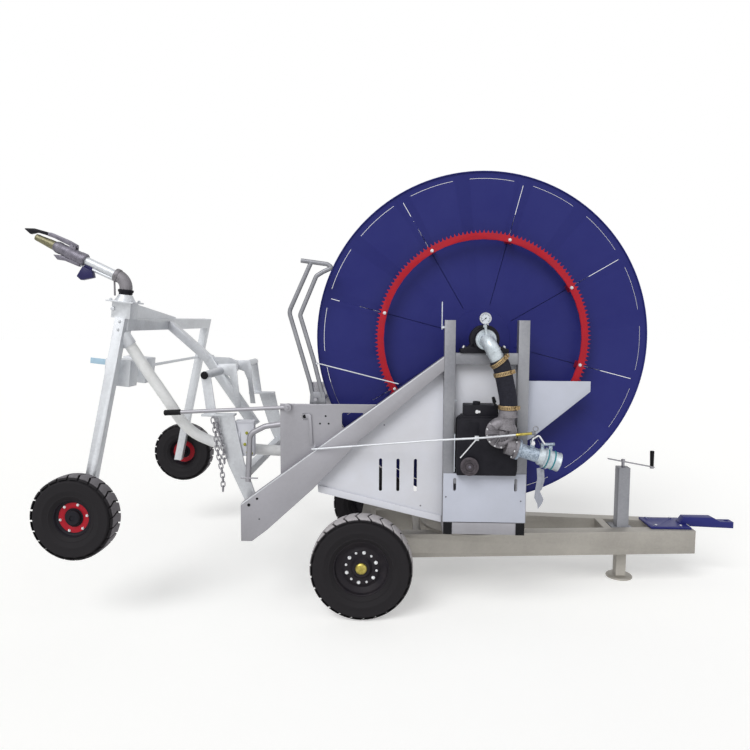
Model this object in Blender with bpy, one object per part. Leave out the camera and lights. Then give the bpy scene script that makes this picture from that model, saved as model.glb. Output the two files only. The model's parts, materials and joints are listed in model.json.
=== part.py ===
# Hose reel irrigator: a two-wheeled chassis with a turntable, a pipe reel in a post frame, a
# water turbine with its gearbox, a pipe guide, and a sprinkler cart carried on a lift frame.
# Metres. +X points to the hitch, +Y away from the turbine side, +Z up.
import bpy
import bmesh
from math import cos, sin, tan, pi, tau, radians, hypot, atan2
from mathutils import Matrix, Vector

# Places: X is measured from the road axle, which lies AXLE_X behind the model's origin
AXLE_X = -0.28
GAP = 0.0003              # what touching pieces keep between them
RUNNING_GAP = 0.0005      # what a turning or sliding piece keeps round itself

# Road wheels
ROAD_TYRE_R = 0.297
ROAD_TYRE_WIDTH = 0.165
ROAD_TRACK_OUT = 0.747    # centreline to the outer face of a tyre
ROAD_RIM_R = 0.160
SPINDLE_R = 0.025
AXLE_BEAM = 0.100

# Drawbar rails
RAIL_FRONT_X = 2.130
RAIL_BOTTOM_Z = 0.214
RAIL_HEIGHT = 0.150
RAIL_WIDTH = 0.090
RAIL_WALL = 0.006
RAIL_FRONT_Y = 0.135      # outer face at the front end
RAIL_SPLAY = 0.090        # how much each rail spreads per metre towards the axle
CROSS_MEMBER_X = 1.580
CROSS_MEMBER_WIDTH = 0.050
CROSS_MEMBER_HEIGHT = 0.100

# Turntable
RING_OUT_R = 0.330
RING_IN_R = 0.270
LOWER_RING_HEIGHT = 0.066
RING_LIP = 0.015
BASE_TUBE_WIDTH = 0.050
BASE_TUBE_HEIGHT = 0.070
BASE_TUBE_BOTTOM_Z = 0.511

# Hitch and jack
HITCH_PLATE = (1.855, 2.115, 0.110)      # rear edge, front edge, half width
HITCH_PLATE_THICKNESS = 0.012
TOW_BAR_HALF_WIDTH = 0.032
TOW_HOLE_R = 0.014
JACK_X = 1.6975
JACK_TUBE = 0.075
JACK_TUBE_WALL = 0.0045
JACK_TUBE_BOTTOM_Z = 0.190
JACK_TUBE_TOP_Z = 0.748
JACK_LEG_WALL = 0.004
JACK_LEG_TOP_Z = 0.560
JACK_TRAVEL = 0.160
JACK_FOOT_R = 0.085
JACK_FOOT_HEIGHT = 0.016
JACK_SCREW_R = 0.012
CRANK_SHAFT_R = 0.010
CRANK_REACH = 0.205
CRANK_TAIL = 0.100
CRANK_DROP = 0.042
CRANK_GRIP_HEIGHT = 0.110
CRANK_GRIP_R = 0.014

# Reel frame
POST = 0.060
POST_FACE_Y = 0.717
POST_LEFT_X = 0.486
POST_RIGHT_X = 0.890
POST_TOP_Z = 1.712
TOP_BAR_TOP_Z = 1.532
TOP_BAR_HEIGHT = 0.062
SEAT_BAR_TOP_Z = 0.860
SEAT_BAR_HEIGHT = 0.060
BEAM_WEB = 0.006
SHEET = 0.003
SIDE_PLATE_THICKNESS = 0.006
SIDE_PLATE_TOP_Z = 1.235
SIDE_PLATE_REAR_X = -0.467
BEAM_TOP = ((-0.687, 0.665), (0.456, 1.513))
BEAM_BOTTOM = ((-0.687, 0.449), (-0.624, 0.449), (-0.537, 0.516), (-0.273, 0.758),
               (-0.029, 1.020), (0.456, 1.433))
PLATE_SPLIT = ((-0.467, 0.690), (-0.100, 1.000), (0.456, 1.470))

# Reel
REEL_X = 0.674
REEL_Z = 1.607
FLANGE_R = 0.946
FLANGE_IN_Y = 0.522       # centreline to the inner face of a flange
FLANGE_SHEET = 0.004
FLANGE_LIP = 0.008
SEAM_WIDTH = 0.004
SEAM_IN_R = 0.200
SEAM_RIM = 0.053          # from a seam's outer end to the rim
SEAM_ANGLE = 14.6         # the first seam, clockwise from straight up, seen from the turbine
RIM_SLOT_DEPTH = 0.041    # from the rim slots to the rim
RIM_SLOT_WIDTH = 0.005
SHAFT_R = 0.045
SHAFT_END_Y = 0.765
CORE_R = 0.598
CORE_SHEET = 0.006
LAYERS_DEPTH = 0.044      # of the inner layers of pipe, wound on the core
PIPE_R = 0.0315
PIPE_LANE = 0.0636        # from one turn of pipe to the next
TURN_STEPS = 14
PIPE_CLEARANCE = 0.018    # between the inner layers and the pipe on them, with the turns' facets

# Gear train
GEAR_MODULE = 0.0075
GEAR_TEETH = 160
PINION_TEETH = 14
RING_TOOTH = ((-0.28, -1.25), (0.0, 1.0), (0.28, -1.25))       # share of a pitch, modules
PINION_TOOTH = ((-0.27, -1.25), (-0.10, 1.0), (0.10, 1.0), (0.27, -1.25))
GEAR_THICKNESS = 0.010
GEAR_IN_R = 0.556
GEAR_FACE_Y = 0.606
GEAR_BACKLASH = 0.0005
PINION_SHAFT_R = 0.018
GEARBOX_FRONT_Y = 0.775
PULLEY_R = 0.050
PULLEY_WIDTH = 0.024

# Turbine and feed pipe
TURBINE_CENTRE = (0.754, 1.115)
TURBINE_R = 0.084
TURBINE_Y = (0.806, 0.885)
TURBINE_NECK = (0.787, 1.237)
FEED_PIPE_R = 0.038
HOSE_R = 0.047
CLAMP_R = 0.0515
ELBOW_LEAN = radians(28)
ELBOW_BEND_R = 0.060
GAUGE_R = 0.0315
INLET_R = 0.037
INLET_SOCKET_R = 0.052
INLET_LENGTH = 0.235
CONTROL_ROD_Y = -0.897    # where it passes the turbine
CONTROL_ROD_R = 0.0055

# Pipe guide
GUIDE_X = -0.328
SCREW_Z = 1.162
SCREW_R = 0.020
GUIDE_BAR_Z = 0.845
GUIDE_BAR_R = 0.012
CARRIAGE_HALF_WIDTH = 0.080
CARRIAGE_DEPTH = 0.050
SPROCKET_R = 0.055

# Levers
LEVER_TUBE_R = 0.0125
CLUTCH_PIVOT = (-0.262, 1.262)
CLUTCH_Y = 0.633
STOP_PIVOT = (-0.420, 1.215)
STOP_Y = 0.675
STOP_GRIP_R = 0.0165

# Lift frame
LIFT_PIVOT = (-0.640, 0.660)
LIFT_PIN_R = 0.014
LIFT_LEG_Y = (0.600, 0.612)
LIFT_TUBE = (-0.905, 1.390)
LIFT_TUBE_R = 0.024
LIFT_TUBE_END = 0.028     # how far the tube passes the legs
LIFT_BAR = 0.050
KNEE_PLATES_Y = (-0.320, 0.060)

# Sprinkler cart, in its own frame: x and z from its axle, square to its legs' feet
CART_AXLE = (-1.556, 0.630)
CART_TILT = radians(6.0)
CART_TYRE_R = 0.234
CART_TYRE_WIDTH = 0.130
CART_TRACK_OUT = 0.950
CART_RIM_R = 0.105
CART_LEG = 0.055
CART_LEG_CLEARANCE = 0.020   # between a leg and the tyre beside it
CART_TOP = (0.125, 1.105)
CART_BEAM_HEIGHT = 0.070
CART_BEAM_WIDTH = 0.060
CART_SPINDLE_R = 0.015
RISER_PLATE = 0.150
RISER_PLATE_Z = 1.188
RISER_PLATE_THICKNESS = 0.008
GUN_SWIVEL_Z = 1.232
GUN_BEND_Z = 1.264
GUN_BEND_R = 0.070
GUN_RISE = radians(19)
GUN_PIPE_R = 0.037
BARREL_R = 0.022
TIE_Z = 0.800
TIE_BAR_R = 0.010
DRAWBAR_Y = (-0.135, -0.065)

# The pipe's free run: under the reel, through the guide, then up to the cart
PIPE_ROUTE = ((0.6107, -0.489, 0.9155), (0.300, -0.489, 0.9160), (-0.100, -0.489, 0.9190),
              (-0.500, -0.489, 0.9280), (-0.700, -0.489, 0.9420), (-0.862, -0.490, 0.9660),
              (-0.935, -0.502, 0.9930), (-1.003, -0.535, 1.0380), (-1.065, -0.575, 1.1150),
              (-1.118, -0.612, 1.2200), (-1.170, -0.645, 1.3200), (-1.230, -0.680, 1.4300),
              (-1.279, -0.707, 1.5250), (-1.299, -0.720, 1.5640))
PIPE_POINTS = 26
PIPE_SPLIT = 17           # the stretch under the reel ends half way along this segment

# Worked-out sizes
RAIL_TOP_Z = RAIL_BOTTOM_Z + RAIL_HEIGHT
BASE_TOP_Z = BASE_TUBE_BOTTOM_Z + BASE_TUBE_HEIGHT
TURNTABLE_X = (POST_LEFT_X + POST_RIGHT_X) / 2
GAUGE_STEM_TOP_Z = REEL_Z + 0.083
POST_BACK_Y = POST_FACE_Y - POST
PANEL_Y = POST_BACK_Y - GAP              # outer face of the sheets behind the posts
LAYERS_R = CORE_R + LAYERS_DEPTH
PIPE_TURN_R = LAYERS_R + PIPE_CLEARANCE + PIPE_R
SEAM_OUT_R = FLANGE_R - SEAM_RIM
RIM_SLOT_R = FLANGE_R - RIM_SLOT_DEPTH
LANE_FIRST_Y = FLANGE_IN_Y - PIPE_R - 0.0015
GEAR_PITCH_R = GEAR_MODULE * GEAR_TEETH / 2
PINION_PITCH_R = GEAR_MODULE * PINION_TEETH / 2
PINION_Z = REEL_Z - GEAR_PITCH_R - PINION_PITCH_R - GEAR_BACKLASH
LIFT_TUBE_HALF = LIFT_LEG_Y[1] + LIFT_TUBE_END
CART_LEG_OUT_Y = CART_TRACK_OUT - CART_TYRE_WIDTH - CART_LEG_CLEARANCE
CART_LEG_Y = (CART_LEG_OUT_Y - CART_LEG, CART_LEG_OUT_Y)
GUN_Y = -CART_LEG_Y[0] - 0.005
CART_RAKE = atan2(CART_TOP[0], CART_TOP[1])

frames = {}


# Scene and finishes

def clear_scene():
    for item in list(bpy.data.objects):
        bpy.data.objects.remove(item, do_unlink=True)


def finish(name, colour, roughness, metallic=0.0):
    if name in bpy.data.materials:
        return bpy.data.materials[name]
    material = bpy.data.materials.new(name)
    material.use_nodes = True
    shader = material.node_tree.nodes["Principled BSDF"]
    shader.inputs["Base Color"].default_value = (*colour, 1.0)
    shader.inputs["Roughness"].default_value = roughness
    shader.inputs["Metallic"].default_value = metallic
    return material


def galvanised():
    return finish("galvanised steel", (0.62, 0.64, 0.66), 0.42, 0.85)


def white_sheet():
    return finish("white painted sheet", (0.83, 0.84, 0.86), 0.35)


def blue_paint():
    return finish("deep blue paint", (0.030, 0.032, 0.210), 0.38)


def red_paint():
    return finish("red paint", (0.62, 0.02, 0.03), 0.40)


def black_casting():
    return finish("black painted casting", (0.025, 0.025, 0.030), 0.50)


def rubber():
    return finish("tyre rubber", (0.022, 0.022, 0.024), 0.85)


def pipe_plastic():
    return finish("white polyethylene", (0.86, 0.87, 0.88), 0.45)


def cast_aluminium():
    return finish("cast aluminium", (0.55, 0.54, 0.53), 0.48, 0.9)


# Frames: one empty for each body, on its joint's axis

def add_frame(name, origin, parent=None, tilt=0.0):
    empty = bpy.data.objects.new(name, None)
    bpy.context.scene.collection.objects.link(empty)
    if parent:
        parent_empty, parent_origin = frames[parent]
        empty.parent = parent_empty
        empty.location = Vector(origin) - parent_origin
    empty.rotation_euler = (0.0, tilt, 0.0)
    frames[name] = (empty, Vector((0, 0, 0)) if tilt else Vector(origin))


def add_frames():
    add_frame("machine_frame", (0, 0, 0))
    frames["machine_frame"][0].location = (AXLE_X, 0, 0)
    for side, y in (("near", -1), ("far", 1)):
        centre = y * (ROAD_TRACK_OUT - ROAD_TYRE_WIDTH / 2)
        add_frame("road_wheel_axis_" + side, (0, centre, ROAD_TYRE_R), "machine_frame")
    add_frame("jack_axis", (JACK_X, 0, 0), "machine_frame")
    add_frame("crank_axis", (JACK_X, 0, JACK_TUBE_TOP_Z), "machine_frame")
    add_frame("turntable_axis", (TURNTABLE_X, 0, RAIL_TOP_Z), "machine_frame")
    add_frame("reel_axis", (REEL_X, 0, REEL_Z), "turntable_axis")
    add_frame("pinion_axis", (REEL_X, -GEAR_FACE_Y, PINION_Z), "turntable_axis")
    add_frame("pulley_axis", (REEL_X - 0.078, -GEARBOX_FRONT_Y, PINION_Z - 0.0395), "turntable_axis")
    add_frame("screw_axis", (GUIDE_X, 0, SCREW_Z), "turntable_axis")
    add_frame("carriage_axis", (GUIDE_X, -LANE_FIRST_Y, SCREW_Z), "turntable_axis")
    add_frame("clutch_axis", (CLUTCH_PIVOT[0], -CLUTCH_Y, CLUTCH_PIVOT[1]), "turntable_axis")
    add_frame("stop_axis", (STOP_PIVOT[0], -STOP_Y, STOP_PIVOT[1]), "turntable_axis")
    add_frame("coupling_axis", coupling_pivot(), "turntable_axis")
    add_frame("lift_axis", (LIFT_PIVOT[0], 0, LIFT_PIVOT[1]), "turntable_axis")
    add_frame("cart_frame_axis", (CART_AXLE[0], 0, CART_AXLE[1]), "lift_axis", CART_TILT)
    for side, y in (("near", -1), ("far", 1)):
        centre = y * (CART_TRACK_OUT - CART_TYRE_WIDTH / 2)
        add_frame("cart_wheel_axis_" + side, (0, centre, 0), "cart_frame_axis")
    add_frame("gun_axis", (CART_TOP[0], GUN_Y, GUN_SWIVEL_Z), "cart_frame_axis")
    add_frame("gun_arm_axis", gun_point(0.285, 0.047), "gun_axis")


# Solids, each returned as a bmesh

def prism(points, low, high, axis="Y"):
    bm = bmesh.new()
    place = {"X": lambda a, b: (low, a, b), "Y": lambda a, b: (a, low, b), "Z": lambda a, b: (a, b, low)}
    base = bm.faces.new([bm.verts.new(place[axis](a, b)) for a, b in points])
    grown = bmesh.ops.extrude_face_region(bm, geom=[base], use_keep_orig=True)
    move = {"X": (high - low, 0, 0), "Y": (0, high - low, 0), "Z": (0, 0, high - low)}[axis]
    moved = [item for item in grown["geom"] if isinstance(item, bmesh.types.BMVert)]
    bmesh.ops.translate(bm, verts=moved, vec=move)
    bmesh.ops.recalc_face_normals(bm, faces=bm.faces)
    return bm


def block(x, y, z):
    return prism(((x[0], z[0]), (x[1], z[0]), (x[1], z[1]), (x[0], z[1])), y[0], y[1])


def strut(start, end, depth, y):
    along = Vector((end[0] - start[0], end[1] - start[1])).normalized()
    side = Vector((-along.y, along.x)) * depth / 2
    a, b = Vector(start), Vector(end)
    return prism((a - side, b - side, b + side, a + side), y[0], y[1])


def aim(bm, origin, axis):
    turn = Vector((0, 0, 1)).rotation_difference(Vector(axis)).to_matrix().to_4x4()
    bmesh.ops.transform(bm, matrix=Matrix.Translation(origin) @ turn, verts=bm.verts)
    return bm


def lathe(profile, steps, origin, axis=(0, 1, 0), ring=True):
    bm = bmesh.new()
    points = [bm.verts.new((radius, 0, height)) for radius, height in profile]
    edges = [bm.edges.new(pair) for pair in zip(points, points[1:])]
    if ring:
        edges.append(bm.edges.new((points[-1], points[0])))
    bmesh.ops.spin(bm, geom=points + edges, cent=(0, 0, 0), axis=(0, 0, 1), angle=tau, steps=steps,
                   use_merge=True)
    bmesh.ops.remove_doubles(bm, verts=bm.verts, dist=1e-6)
    bmesh.ops.recalc_face_normals(bm, faces=bm.faces)
    return aim(bm, origin, axis)


def rod(start, end, radius, sides=12, end_radius=None):
    start, end = Vector(start), Vector(end)
    bm = bmesh.new()
    bmesh.ops.create_cone(bm, cap_ends=True, segments=sides, radius1=radius,
                          radius2=radius if end_radius is None else end_radius,
                          depth=(end - start).length)
    return aim(bm, (start + end) / 2, end - start)


def round_corners(points, radius, steps=3):
    points = [Vector(point) for point in points]
    path = [points[0]]
    for before, corner, after in zip(points, points[1:], points[2:]):
        back, ahead = (before - corner).normalized(), (after - corner).normalized()
        half = back.angle(ahead) / 2
        reach = min(radius / tan(half), 0.45 * min((before - corner).length, (after - corner).length))
        size = reach * tan(half)
        centre = corner + (back + ahead).normalized() * size / sin(half)
        first, last = corner + back * reach - centre, corner + ahead * reach - centre
        for step in range(steps + 1):
            path.append(centre + first.slerp(last, step / steps) * size)
    path.append(points[-1])
    return path


def smooth_route(points, count):
    points = [Vector(point) for point in points]
    padded = [2 * points[0] - points[1]] + points + [2 * points[-1] - points[-2]]
    fine = []
    for p0, p1, p2, p3 in zip(padded, padded[1:], padded[2:], padded[3:]):
        for step in range(20):
            t = step / 20
            fine.append(0.5 * (2 * p1 + (p2 - p0) * t + (2 * p0 - 5 * p1 + 4 * p2 - p3) * t * t
                               + (3 * p1 - p0 - 3 * p2 + p3) * t ** 3))
    fine.append(points[-1])
    total = sum((b - a).length for a, b in zip(fine, fine[1:]))
    route, walked, wanted = [fine[0]], 0.0, total / count
    for a, b in zip(fine, fine[1:]):
        walked += (b - a).length
        if walked >= wanted - 1e-9 and len(route) < count:
            route.append(b)
            wanted += total / count
    route.append(fine[-1])
    return route, total


def tube_curve(name, points, radius, resolution):
    curve = bpy.data.curves.new(name, "CURVE")
    curve.dimensions = "3D"
    curve.bevel_depth = radius
    curve.bevel_resolution = resolution
    curve.use_fill_caps = True
    curve.resolution_u = 1
    curve.render_resolution_u = 0
    spline = curve.splines.new("POLY")
    spline.points.add(len(points) - 1)
    for place, point in zip(spline.points, points):
        place.co = (*point, 1.0)
    return curve


def sweep(points, radius, resolution=2):
    curve = tube_curve("sweep", points, radius, resolution)
    guide = bpy.data.objects.new("sweep", curve)
    bpy.context.scene.collection.objects.link(guide)
    mesh = bpy.data.meshes.new_from_object(guide.evaluated_get(bpy.context.evaluated_depsgraph_get()))
    bm = bmesh.new()
    bm.from_mesh(mesh)
    bpy.data.objects.remove(guide)
    bpy.data.curves.remove(curve)
    bpy.data.meshes.remove(mesh)
    bmesh.ops.remove_doubles(bm, verts=bm.verts, dist=1e-6)
    bmesh.ops.recalc_face_normals(bm, faces=bm.faces)
    return bm


# Objects

def place_solid(name, bm, frame, material):
    empty, origin = frames[frame]
    mesh = bpy.data.meshes.new(name)
    bm.to_mesh(mesh)
    bm.free()
    mesh.transform(Matrix.Translation(-origin))
    mesh.shade_smooth()
    mesh.set_sharp_from_angle(angle=radians(35))
    if material:
        mesh.materials.append(material)
    item = bpy.data.objects.new(name, mesh)
    bpy.context.scene.collection.objects.link(item)
    item.parent = empty
    return item


def piece(name, frame, material, solids, cuts=()):
    item = place_solid(name, solids[0], frame, material)
    steps = [("add", "UNION", bm) for bm in solids[1:]] + [("cut", "DIFFERENCE", bm) for bm in cuts]
    for number, (kind, operation, bm) in enumerate(steps, 1):
        helper = place_solid(f"{name}_{kind}_{number}", bm, frame, None)
        helper.hide_render = True
        helper.display_type = "WIRE"
        boolean = item.modifiers.new(f"{kind} {number}", "BOOLEAN")
        boolean.operation = operation
        boolean.solver = "EXACT"
        boolean.object = helper
    return item


def cord_piece(name, frame, material, points, radius, resolution):
    empty, origin = frames[frame]
    local = [Vector(point) - origin for point in points]
    curve = tube_curve(name, local, radius, resolution)
    curve.materials.append(material)
    item = bpy.data.objects.new(name, curve)
    bpy.context.scene.collection.objects.link(item)
    item.parent = empty
    return item


def mirrored(points, sign):
    low, high = points
    return (sign * low, sign * high) if sign > 0 else (-high, -low)


# Chassis

def rail_outer_y(x):
    return RAIL_FRONT_Y + RAIL_SPLAY * (RAIL_FRONT_X - x)


def rail_outline(sign, rear_x, front_x, inset):
    outer = [(x, sign * (rail_outer_y(x) - inset)) for x in (rear_x, front_x)]
    inner = [(x, sign * (rail_outer_y(x) - RAIL_WIDTH + inset)) for x in (front_x, rear_x)]
    return outer + inner


def make_chassis():
    half = AXLE_BEAM / 2
    rear = half - 0.005
    solids, cuts = [], []
    beam_end = ROAD_TRACK_OUT - ROAD_TYRE_WIDTH / 2 - ROAD_TYRE_WIDTH * 0.40
    solids.append(block((-half, half), (-beam_end, beam_end), (ROAD_TYRE_R - half, ROAD_TYRE_R + half)))
    for sign in (-1, 1):
        solids.append(prism(rail_outline(sign, rear, RAIL_FRONT_X, 0.0), RAIL_BOTTOM_Z, RAIL_TOP_Z, "Z"))
        cuts.append(prism(rail_outline(sign, half + RAIL_WALL, RAIL_FRONT_X + 0.01, RAIL_WALL),
                          RAIL_BOTTOM_Z + RAIL_WALL, RAIL_TOP_Z - RAIL_WALL, "Z"))
        hub_end = ROAD_TRACK_OUT - 0.050
        solids.append(rod((0, sign * (beam_end - 0.050), ROAD_TYRE_R), (0, sign * hub_end, ROAD_TYRE_R),
                          SPINDLE_R, 12))
    for x in (CROSS_MEMBER_X, RAIL_FRONT_X - 0.055, 0.330):
        reach = rail_outer_y(x) - RAIL_WIDTH + RAIL_WALL / 2
        solids.append(block((x - CROSS_MEMBER_WIDTH / 2, x + CROSS_MEMBER_WIDTH / 2), (-reach, reach),
                            (RAIL_TOP_Z - CROSS_MEMBER_HEIGHT - 0.001, RAIL_TOP_Z - 0.001)))
    ring_bottom = RAIL_TOP_Z - 0.003
    ring = [(RING_IN_R, 0), (RING_OUT_R, 0), (RING_OUT_R, RING_LIP),
            (RING_OUT_R - RING_LIP, RING_LIP + 0.010),
            (RING_OUT_R - RING_LIP, LOWER_RING_HEIGHT + 0.003), (RING_IN_R, LOWER_RING_HEIGHT + 0.003)]
    solids.append(lathe(ring, 24, (TURNTABLE_X, 0, ring_bottom), (0, 0, 1)))
    piece("chassis_frame", "machine_frame", galvanised(), solids, cuts)


def make_hitch():
    rear, front, half = HITCH_PLATE
    bottom = RAIL_TOP_Z + GAP
    top = bottom + HITCH_PLATE_THICKNESS
    plate = prism(((rear, -half), (front, -half), (front, half), (rear, half)), bottom, top, "Z")
    bolts = [rod((x, y, top - 0.002), (x, y, top + 0.008), 0.011, 6)
             for x in (rear + 0.040, front - 0.060) for y in (-half + 0.025, half - 0.025)]
    piece("hitch_plate", "machine_frame", blue_paint(), [plate] + bolts)
    seat = top + GAP
    side = ((front - 0.045, seat), (RAIL_FRONT_X + 0.002, seat), (RAIL_FRONT_X + 0.008, 0.361),
            (2.420, 0.352), (2.420, 0.394), (2.336, 0.394), (2.285, 0.421), (2.100, 0.421))
    channel = prism(side, -TOW_BAR_HALF_WIDTH, TOW_BAR_HALF_WIDTH)
    hole = rod((2.385, 0, 0.30), (2.385, 0, 0.45), TOW_HOLE_R, 16)
    piece("tow_bar", "machine_frame", blue_paint(), [channel], [hole])


def make_jack():
    half = JACK_TUBE / 2
    hollow = half - JACK_TUBE_WALL
    cap = 0.012
    tube = block((JACK_X - half, JACK_X + half), (-half, half), (JACK_TUBE_BOTTOM_Z, JACK_TUBE_TOP_Z))
    plate_rear, plate_front = JACK_X - 0.068, JACK_X + 0.068
    flange = [(x, sign * (rail_outer_y(x) - RAIL_WIDTH - GAP)) for sign, xs in
              ((-1, (plate_rear, plate_front)), (1, (plate_front, plate_rear))) for x in xs]
    plate = prism(flange, RAIL_TOP_Z - 0.030, RAIL_TOP_Z - 0.018, "Z")
    bore = block((JACK_X - hollow, JACK_X + hollow), (-hollow, hollow),
                 (JACK_TUBE_BOTTOM_Z - 0.01, JACK_TUBE_TOP_Z - cap))
    shaft_hole = rod((JACK_X, 0, JACK_TUBE_TOP_Z - 0.03), (JACK_X, 0, JACK_TUBE_TOP_Z + 0.01),
                     CRANK_SHAFT_R + RUNNING_GAP + 0.0003, 12)
    piece("jack_tube", "machine_frame", galvanised(), [tube, plate], [bore, shaft_hole])

    leg = hollow - RUNNING_GAP
    inside = leg - JACK_LEG_WALL
    nut = 0.020
    outer = block((JACK_X - leg, JACK_X + leg), (-leg, leg), (JACK_FOOT_HEIGHT - 0.002, JACK_LEG_TOP_Z))
    foot = lathe([(0, 0), (JACK_FOOT_R, 0), (JACK_FOOT_R, JACK_FOOT_HEIGHT * 0.6),
                  (JACK_FOOT_R * 0.88, JACK_FOOT_HEIGHT), (0, JACK_FOOT_HEIGHT)], 20, (JACK_X, 0, 0),
                 (0, 0, 1), ring=False)
    cavity = block((JACK_X - inside, JACK_X + inside), (-inside, inside),
                   (JACK_FOOT_HEIGHT + 0.010, JACK_LEG_TOP_Z - nut))
    nut_hole = rod((JACK_X, 0, JACK_LEG_TOP_Z - 0.05), (JACK_X, 0, JACK_LEG_TOP_Z + 0.01),
                   JACK_SCREW_R + RUNNING_GAP + 0.0003, 12)
    piece("jack_leg", "jack_axis", galvanised(), [outer, foot], [cavity, nut_hole])

    shaft_top = JACK_TUBE_TOP_Z + 0.042
    screw = rod((JACK_X, 0, JACK_LEG_TOP_Z - JACK_TRAVEL - 0.120), (JACK_X, 0, JACK_TUBE_TOP_Z - cap - 0.010),
                JACK_SCREW_R, 12)
    shaft = rod((JACK_X, 0, JACK_TUBE_TOP_Z - cap - 0.012), (JACK_X, 0, shaft_top), CRANK_SHAFT_R, 12)
    arm = strut((JACK_X - CRANK_TAIL, shaft_top + 0.012), (JACK_X + CRANK_REACH, shaft_top - CRANK_DROP),
                0.010, (-0.012, 0.012))
    grip_x = JACK_X + CRANK_REACH - 0.016
    grip_z = shaft_top - CRANK_DROP
    grip = rod((grip_x, 0, grip_z - 0.006), (grip_x - 0.002, 0, grip_z + CRANK_GRIP_HEIGHT), CRANK_GRIP_R, 12)
    piece("jack_crank", "crank_axis", black_casting(), [screw, shaft, arm, grip])


# Wheels

def make_wheel(kind, side, sign, radius, width, rim_radius, hub_radius, spindle_radius, rim_finish, steps):
    frame = f"{kind}_wheel_axis_{side}"
    centre = frames[frame][1]
    half = width / 2
    section = [(rim_radius, -0.34 * width), (radius * 0.91, -half), (radius, -0.37 * width),
               (radius, 0.37 * width), (radius * 0.91, half), (rim_radius, 0.34 * width)]
    piece(f"{kind}_tyre_{side}", frame, rubber(), [lathe(section, steps, centre, (0, sign, 0))])
    edge = rim_radius - RUNNING_GAP
    disc = 0.02 * radius / 0.297
    bore = rod(centre - Vector((0, sign * half * 1.2, 0)), centre + Vector((0, sign * half * 0.50, 0)),
               spindle_radius + RUNNING_GAP + 0.0003, 12)
    profile = [(0, -half * 0.75), (hub_radius, -half * 0.75), (hub_radius, -0.01), (edge * 0.84, -0.01),
               (edge, -0.34 * width), (edge, 0.34 * width),
               (edge * 0.84, disc), (hub_radius * 1.2, disc), (hub_radius, half * 0.62), (0, half * 0.62)]
    piece(f"{kind}_rim_{side}", frame, rim_finish,
          [lathe(profile, steps, centre, (0, sign, 0), ring=False)], [bore])


def make_wheels():
    for side, sign in (("near", -1), ("far", 1)):
        make_wheel("road", side, sign, ROAD_TYRE_R, ROAD_TYRE_WIDTH, ROAD_RIM_R, 0.052, SPINDLE_R,
                   black_casting(), 24)
        make_wheel("cart", side, sign, CART_TYRE_R, CART_TYRE_WIDTH, CART_RIM_R, 0.034, CART_SPINDLE_R,
                   red_paint(), 20)


# Reel frame

def make_base():
    solids = []
    back = POST_FACE_Y
    for x in (POST_LEFT_X, POST_RIGHT_X):
        solids.append(block((x - BASE_TUBE_WIDTH / 2, x + BASE_TUBE_WIDTH / 2), (-back, back),
                            (BASE_TUBE_BOTTOM_Z, BASE_TOP_Z)))
    for y in (-back + 0.026, -0.260, 0.260, back - 0.026):
        solids.append(block((POST_LEFT_X, POST_RIGHT_X), (y - BASE_TUBE_WIDTH / 2, y + BASE_TUBE_WIDTH / 2),
                            (BASE_TUBE_BOTTOM_Z + 0.002, BASE_TOP_Z - 0.002)))
    bottom = RAIL_TOP_Z + LOWER_RING_HEIGHT + GAP
    height = BASE_TUBE_BOTTOM_Z + 0.003 - bottom
    skirt = RING_OUT_R + 0.006
    ring = [(RING_IN_R, 0), (RING_OUT_R - RING_LIP, 0), (skirt, 0), (skirt, 0.020),
            (RING_OUT_R - 0.010, 0.030),
            (RING_OUT_R - 0.010, height), (RING_IN_R, height)]
    solids.append(lathe(ring, 24, (TURNTABLE_X, 0, bottom), (0, 0, 1)))
    piece("base_frame", "turntable_axis", galvanised(), solids)


def make_post_frames():
    for side, sign in (("near", -1), ("far", 1)):
        y = mirrored((POST_BACK_Y, POST_FACE_Y), sign)
        bar_y = mirrored((POST_BACK_Y + 0.005, POST_FACE_Y - 0.005), sign)
        half = POST / 2
        solids = [block((x - half, x + half), y, (BASE_TOP_Z + GAP, POST_TOP_Z))
                  for x in (POST_LEFT_X, POST_RIGHT_X)]
        for top, height in ((TOP_BAR_TOP_Z, TOP_BAR_HEIGHT), (SEAT_BAR_TOP_Z, SEAT_BAR_HEIGHT)):
            solids.insert(1, block((POST_LEFT_X, POST_RIGHT_X), bar_y, (top - height, top)))
        piece("post_frame_" + side, "turntable_axis", galvanised(), solids)


def beam_outline():
    right = POST_LEFT_X - POST / 2 - GAP
    bottom = list(BEAM_BOTTOM[:-1]) + [(right, BEAM_BOTTOM[-1][1])]
    return bottom + [(right, BEAM_TOP[1][1]), BEAM_TOP[0]]


def make_beams():
    for side, sign in (("near", -1), ("far", 1)):
        back, face = POST_BACK_Y, POST_FACE_Y
        bm = prism(beam_outline(), sign * back, sign * face)
        rear = [f for f in bm.faces if abs(f.calc_center_median().y - sign * back) < 1e-6]
        bmesh.ops.inset_region(bm, faces=rear, thickness=BEAM_WEB, depth=0.0)
        pocket = [f for f in bm.faces if abs(f.calc_center_median().y - sign * back) < 1e-6
                  and len(f.verts) == len(beam_outline())]
        sunk = bmesh.ops.extrude_face_region(bm, geom=pocket)
        moved = [item for item in sunk["geom"] if isinstance(item, bmesh.types.BMVert)]
        bmesh.ops.translate(bm, verts=moved, vec=(0, sign * (POST - BEAM_WEB), 0))
        bmesh.ops.delete(bm, geom=pocket, context="FACES_ONLY")
        bmesh.ops.recalc_face_normals(bm, faces=bm.faces)
        pin = rod((LIFT_PIVOT[0], sign * (face - 0.003), LIFT_PIVOT[1]),
                  (LIFT_PIVOT[0], sign * (LIFT_LEG_Y[0] - 0.004), LIFT_PIVOT[1]), LIFT_PIN_R, 12)
        piece("beam_" + side, "turntable_axis", galvanised(), [bm, pin])


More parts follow.
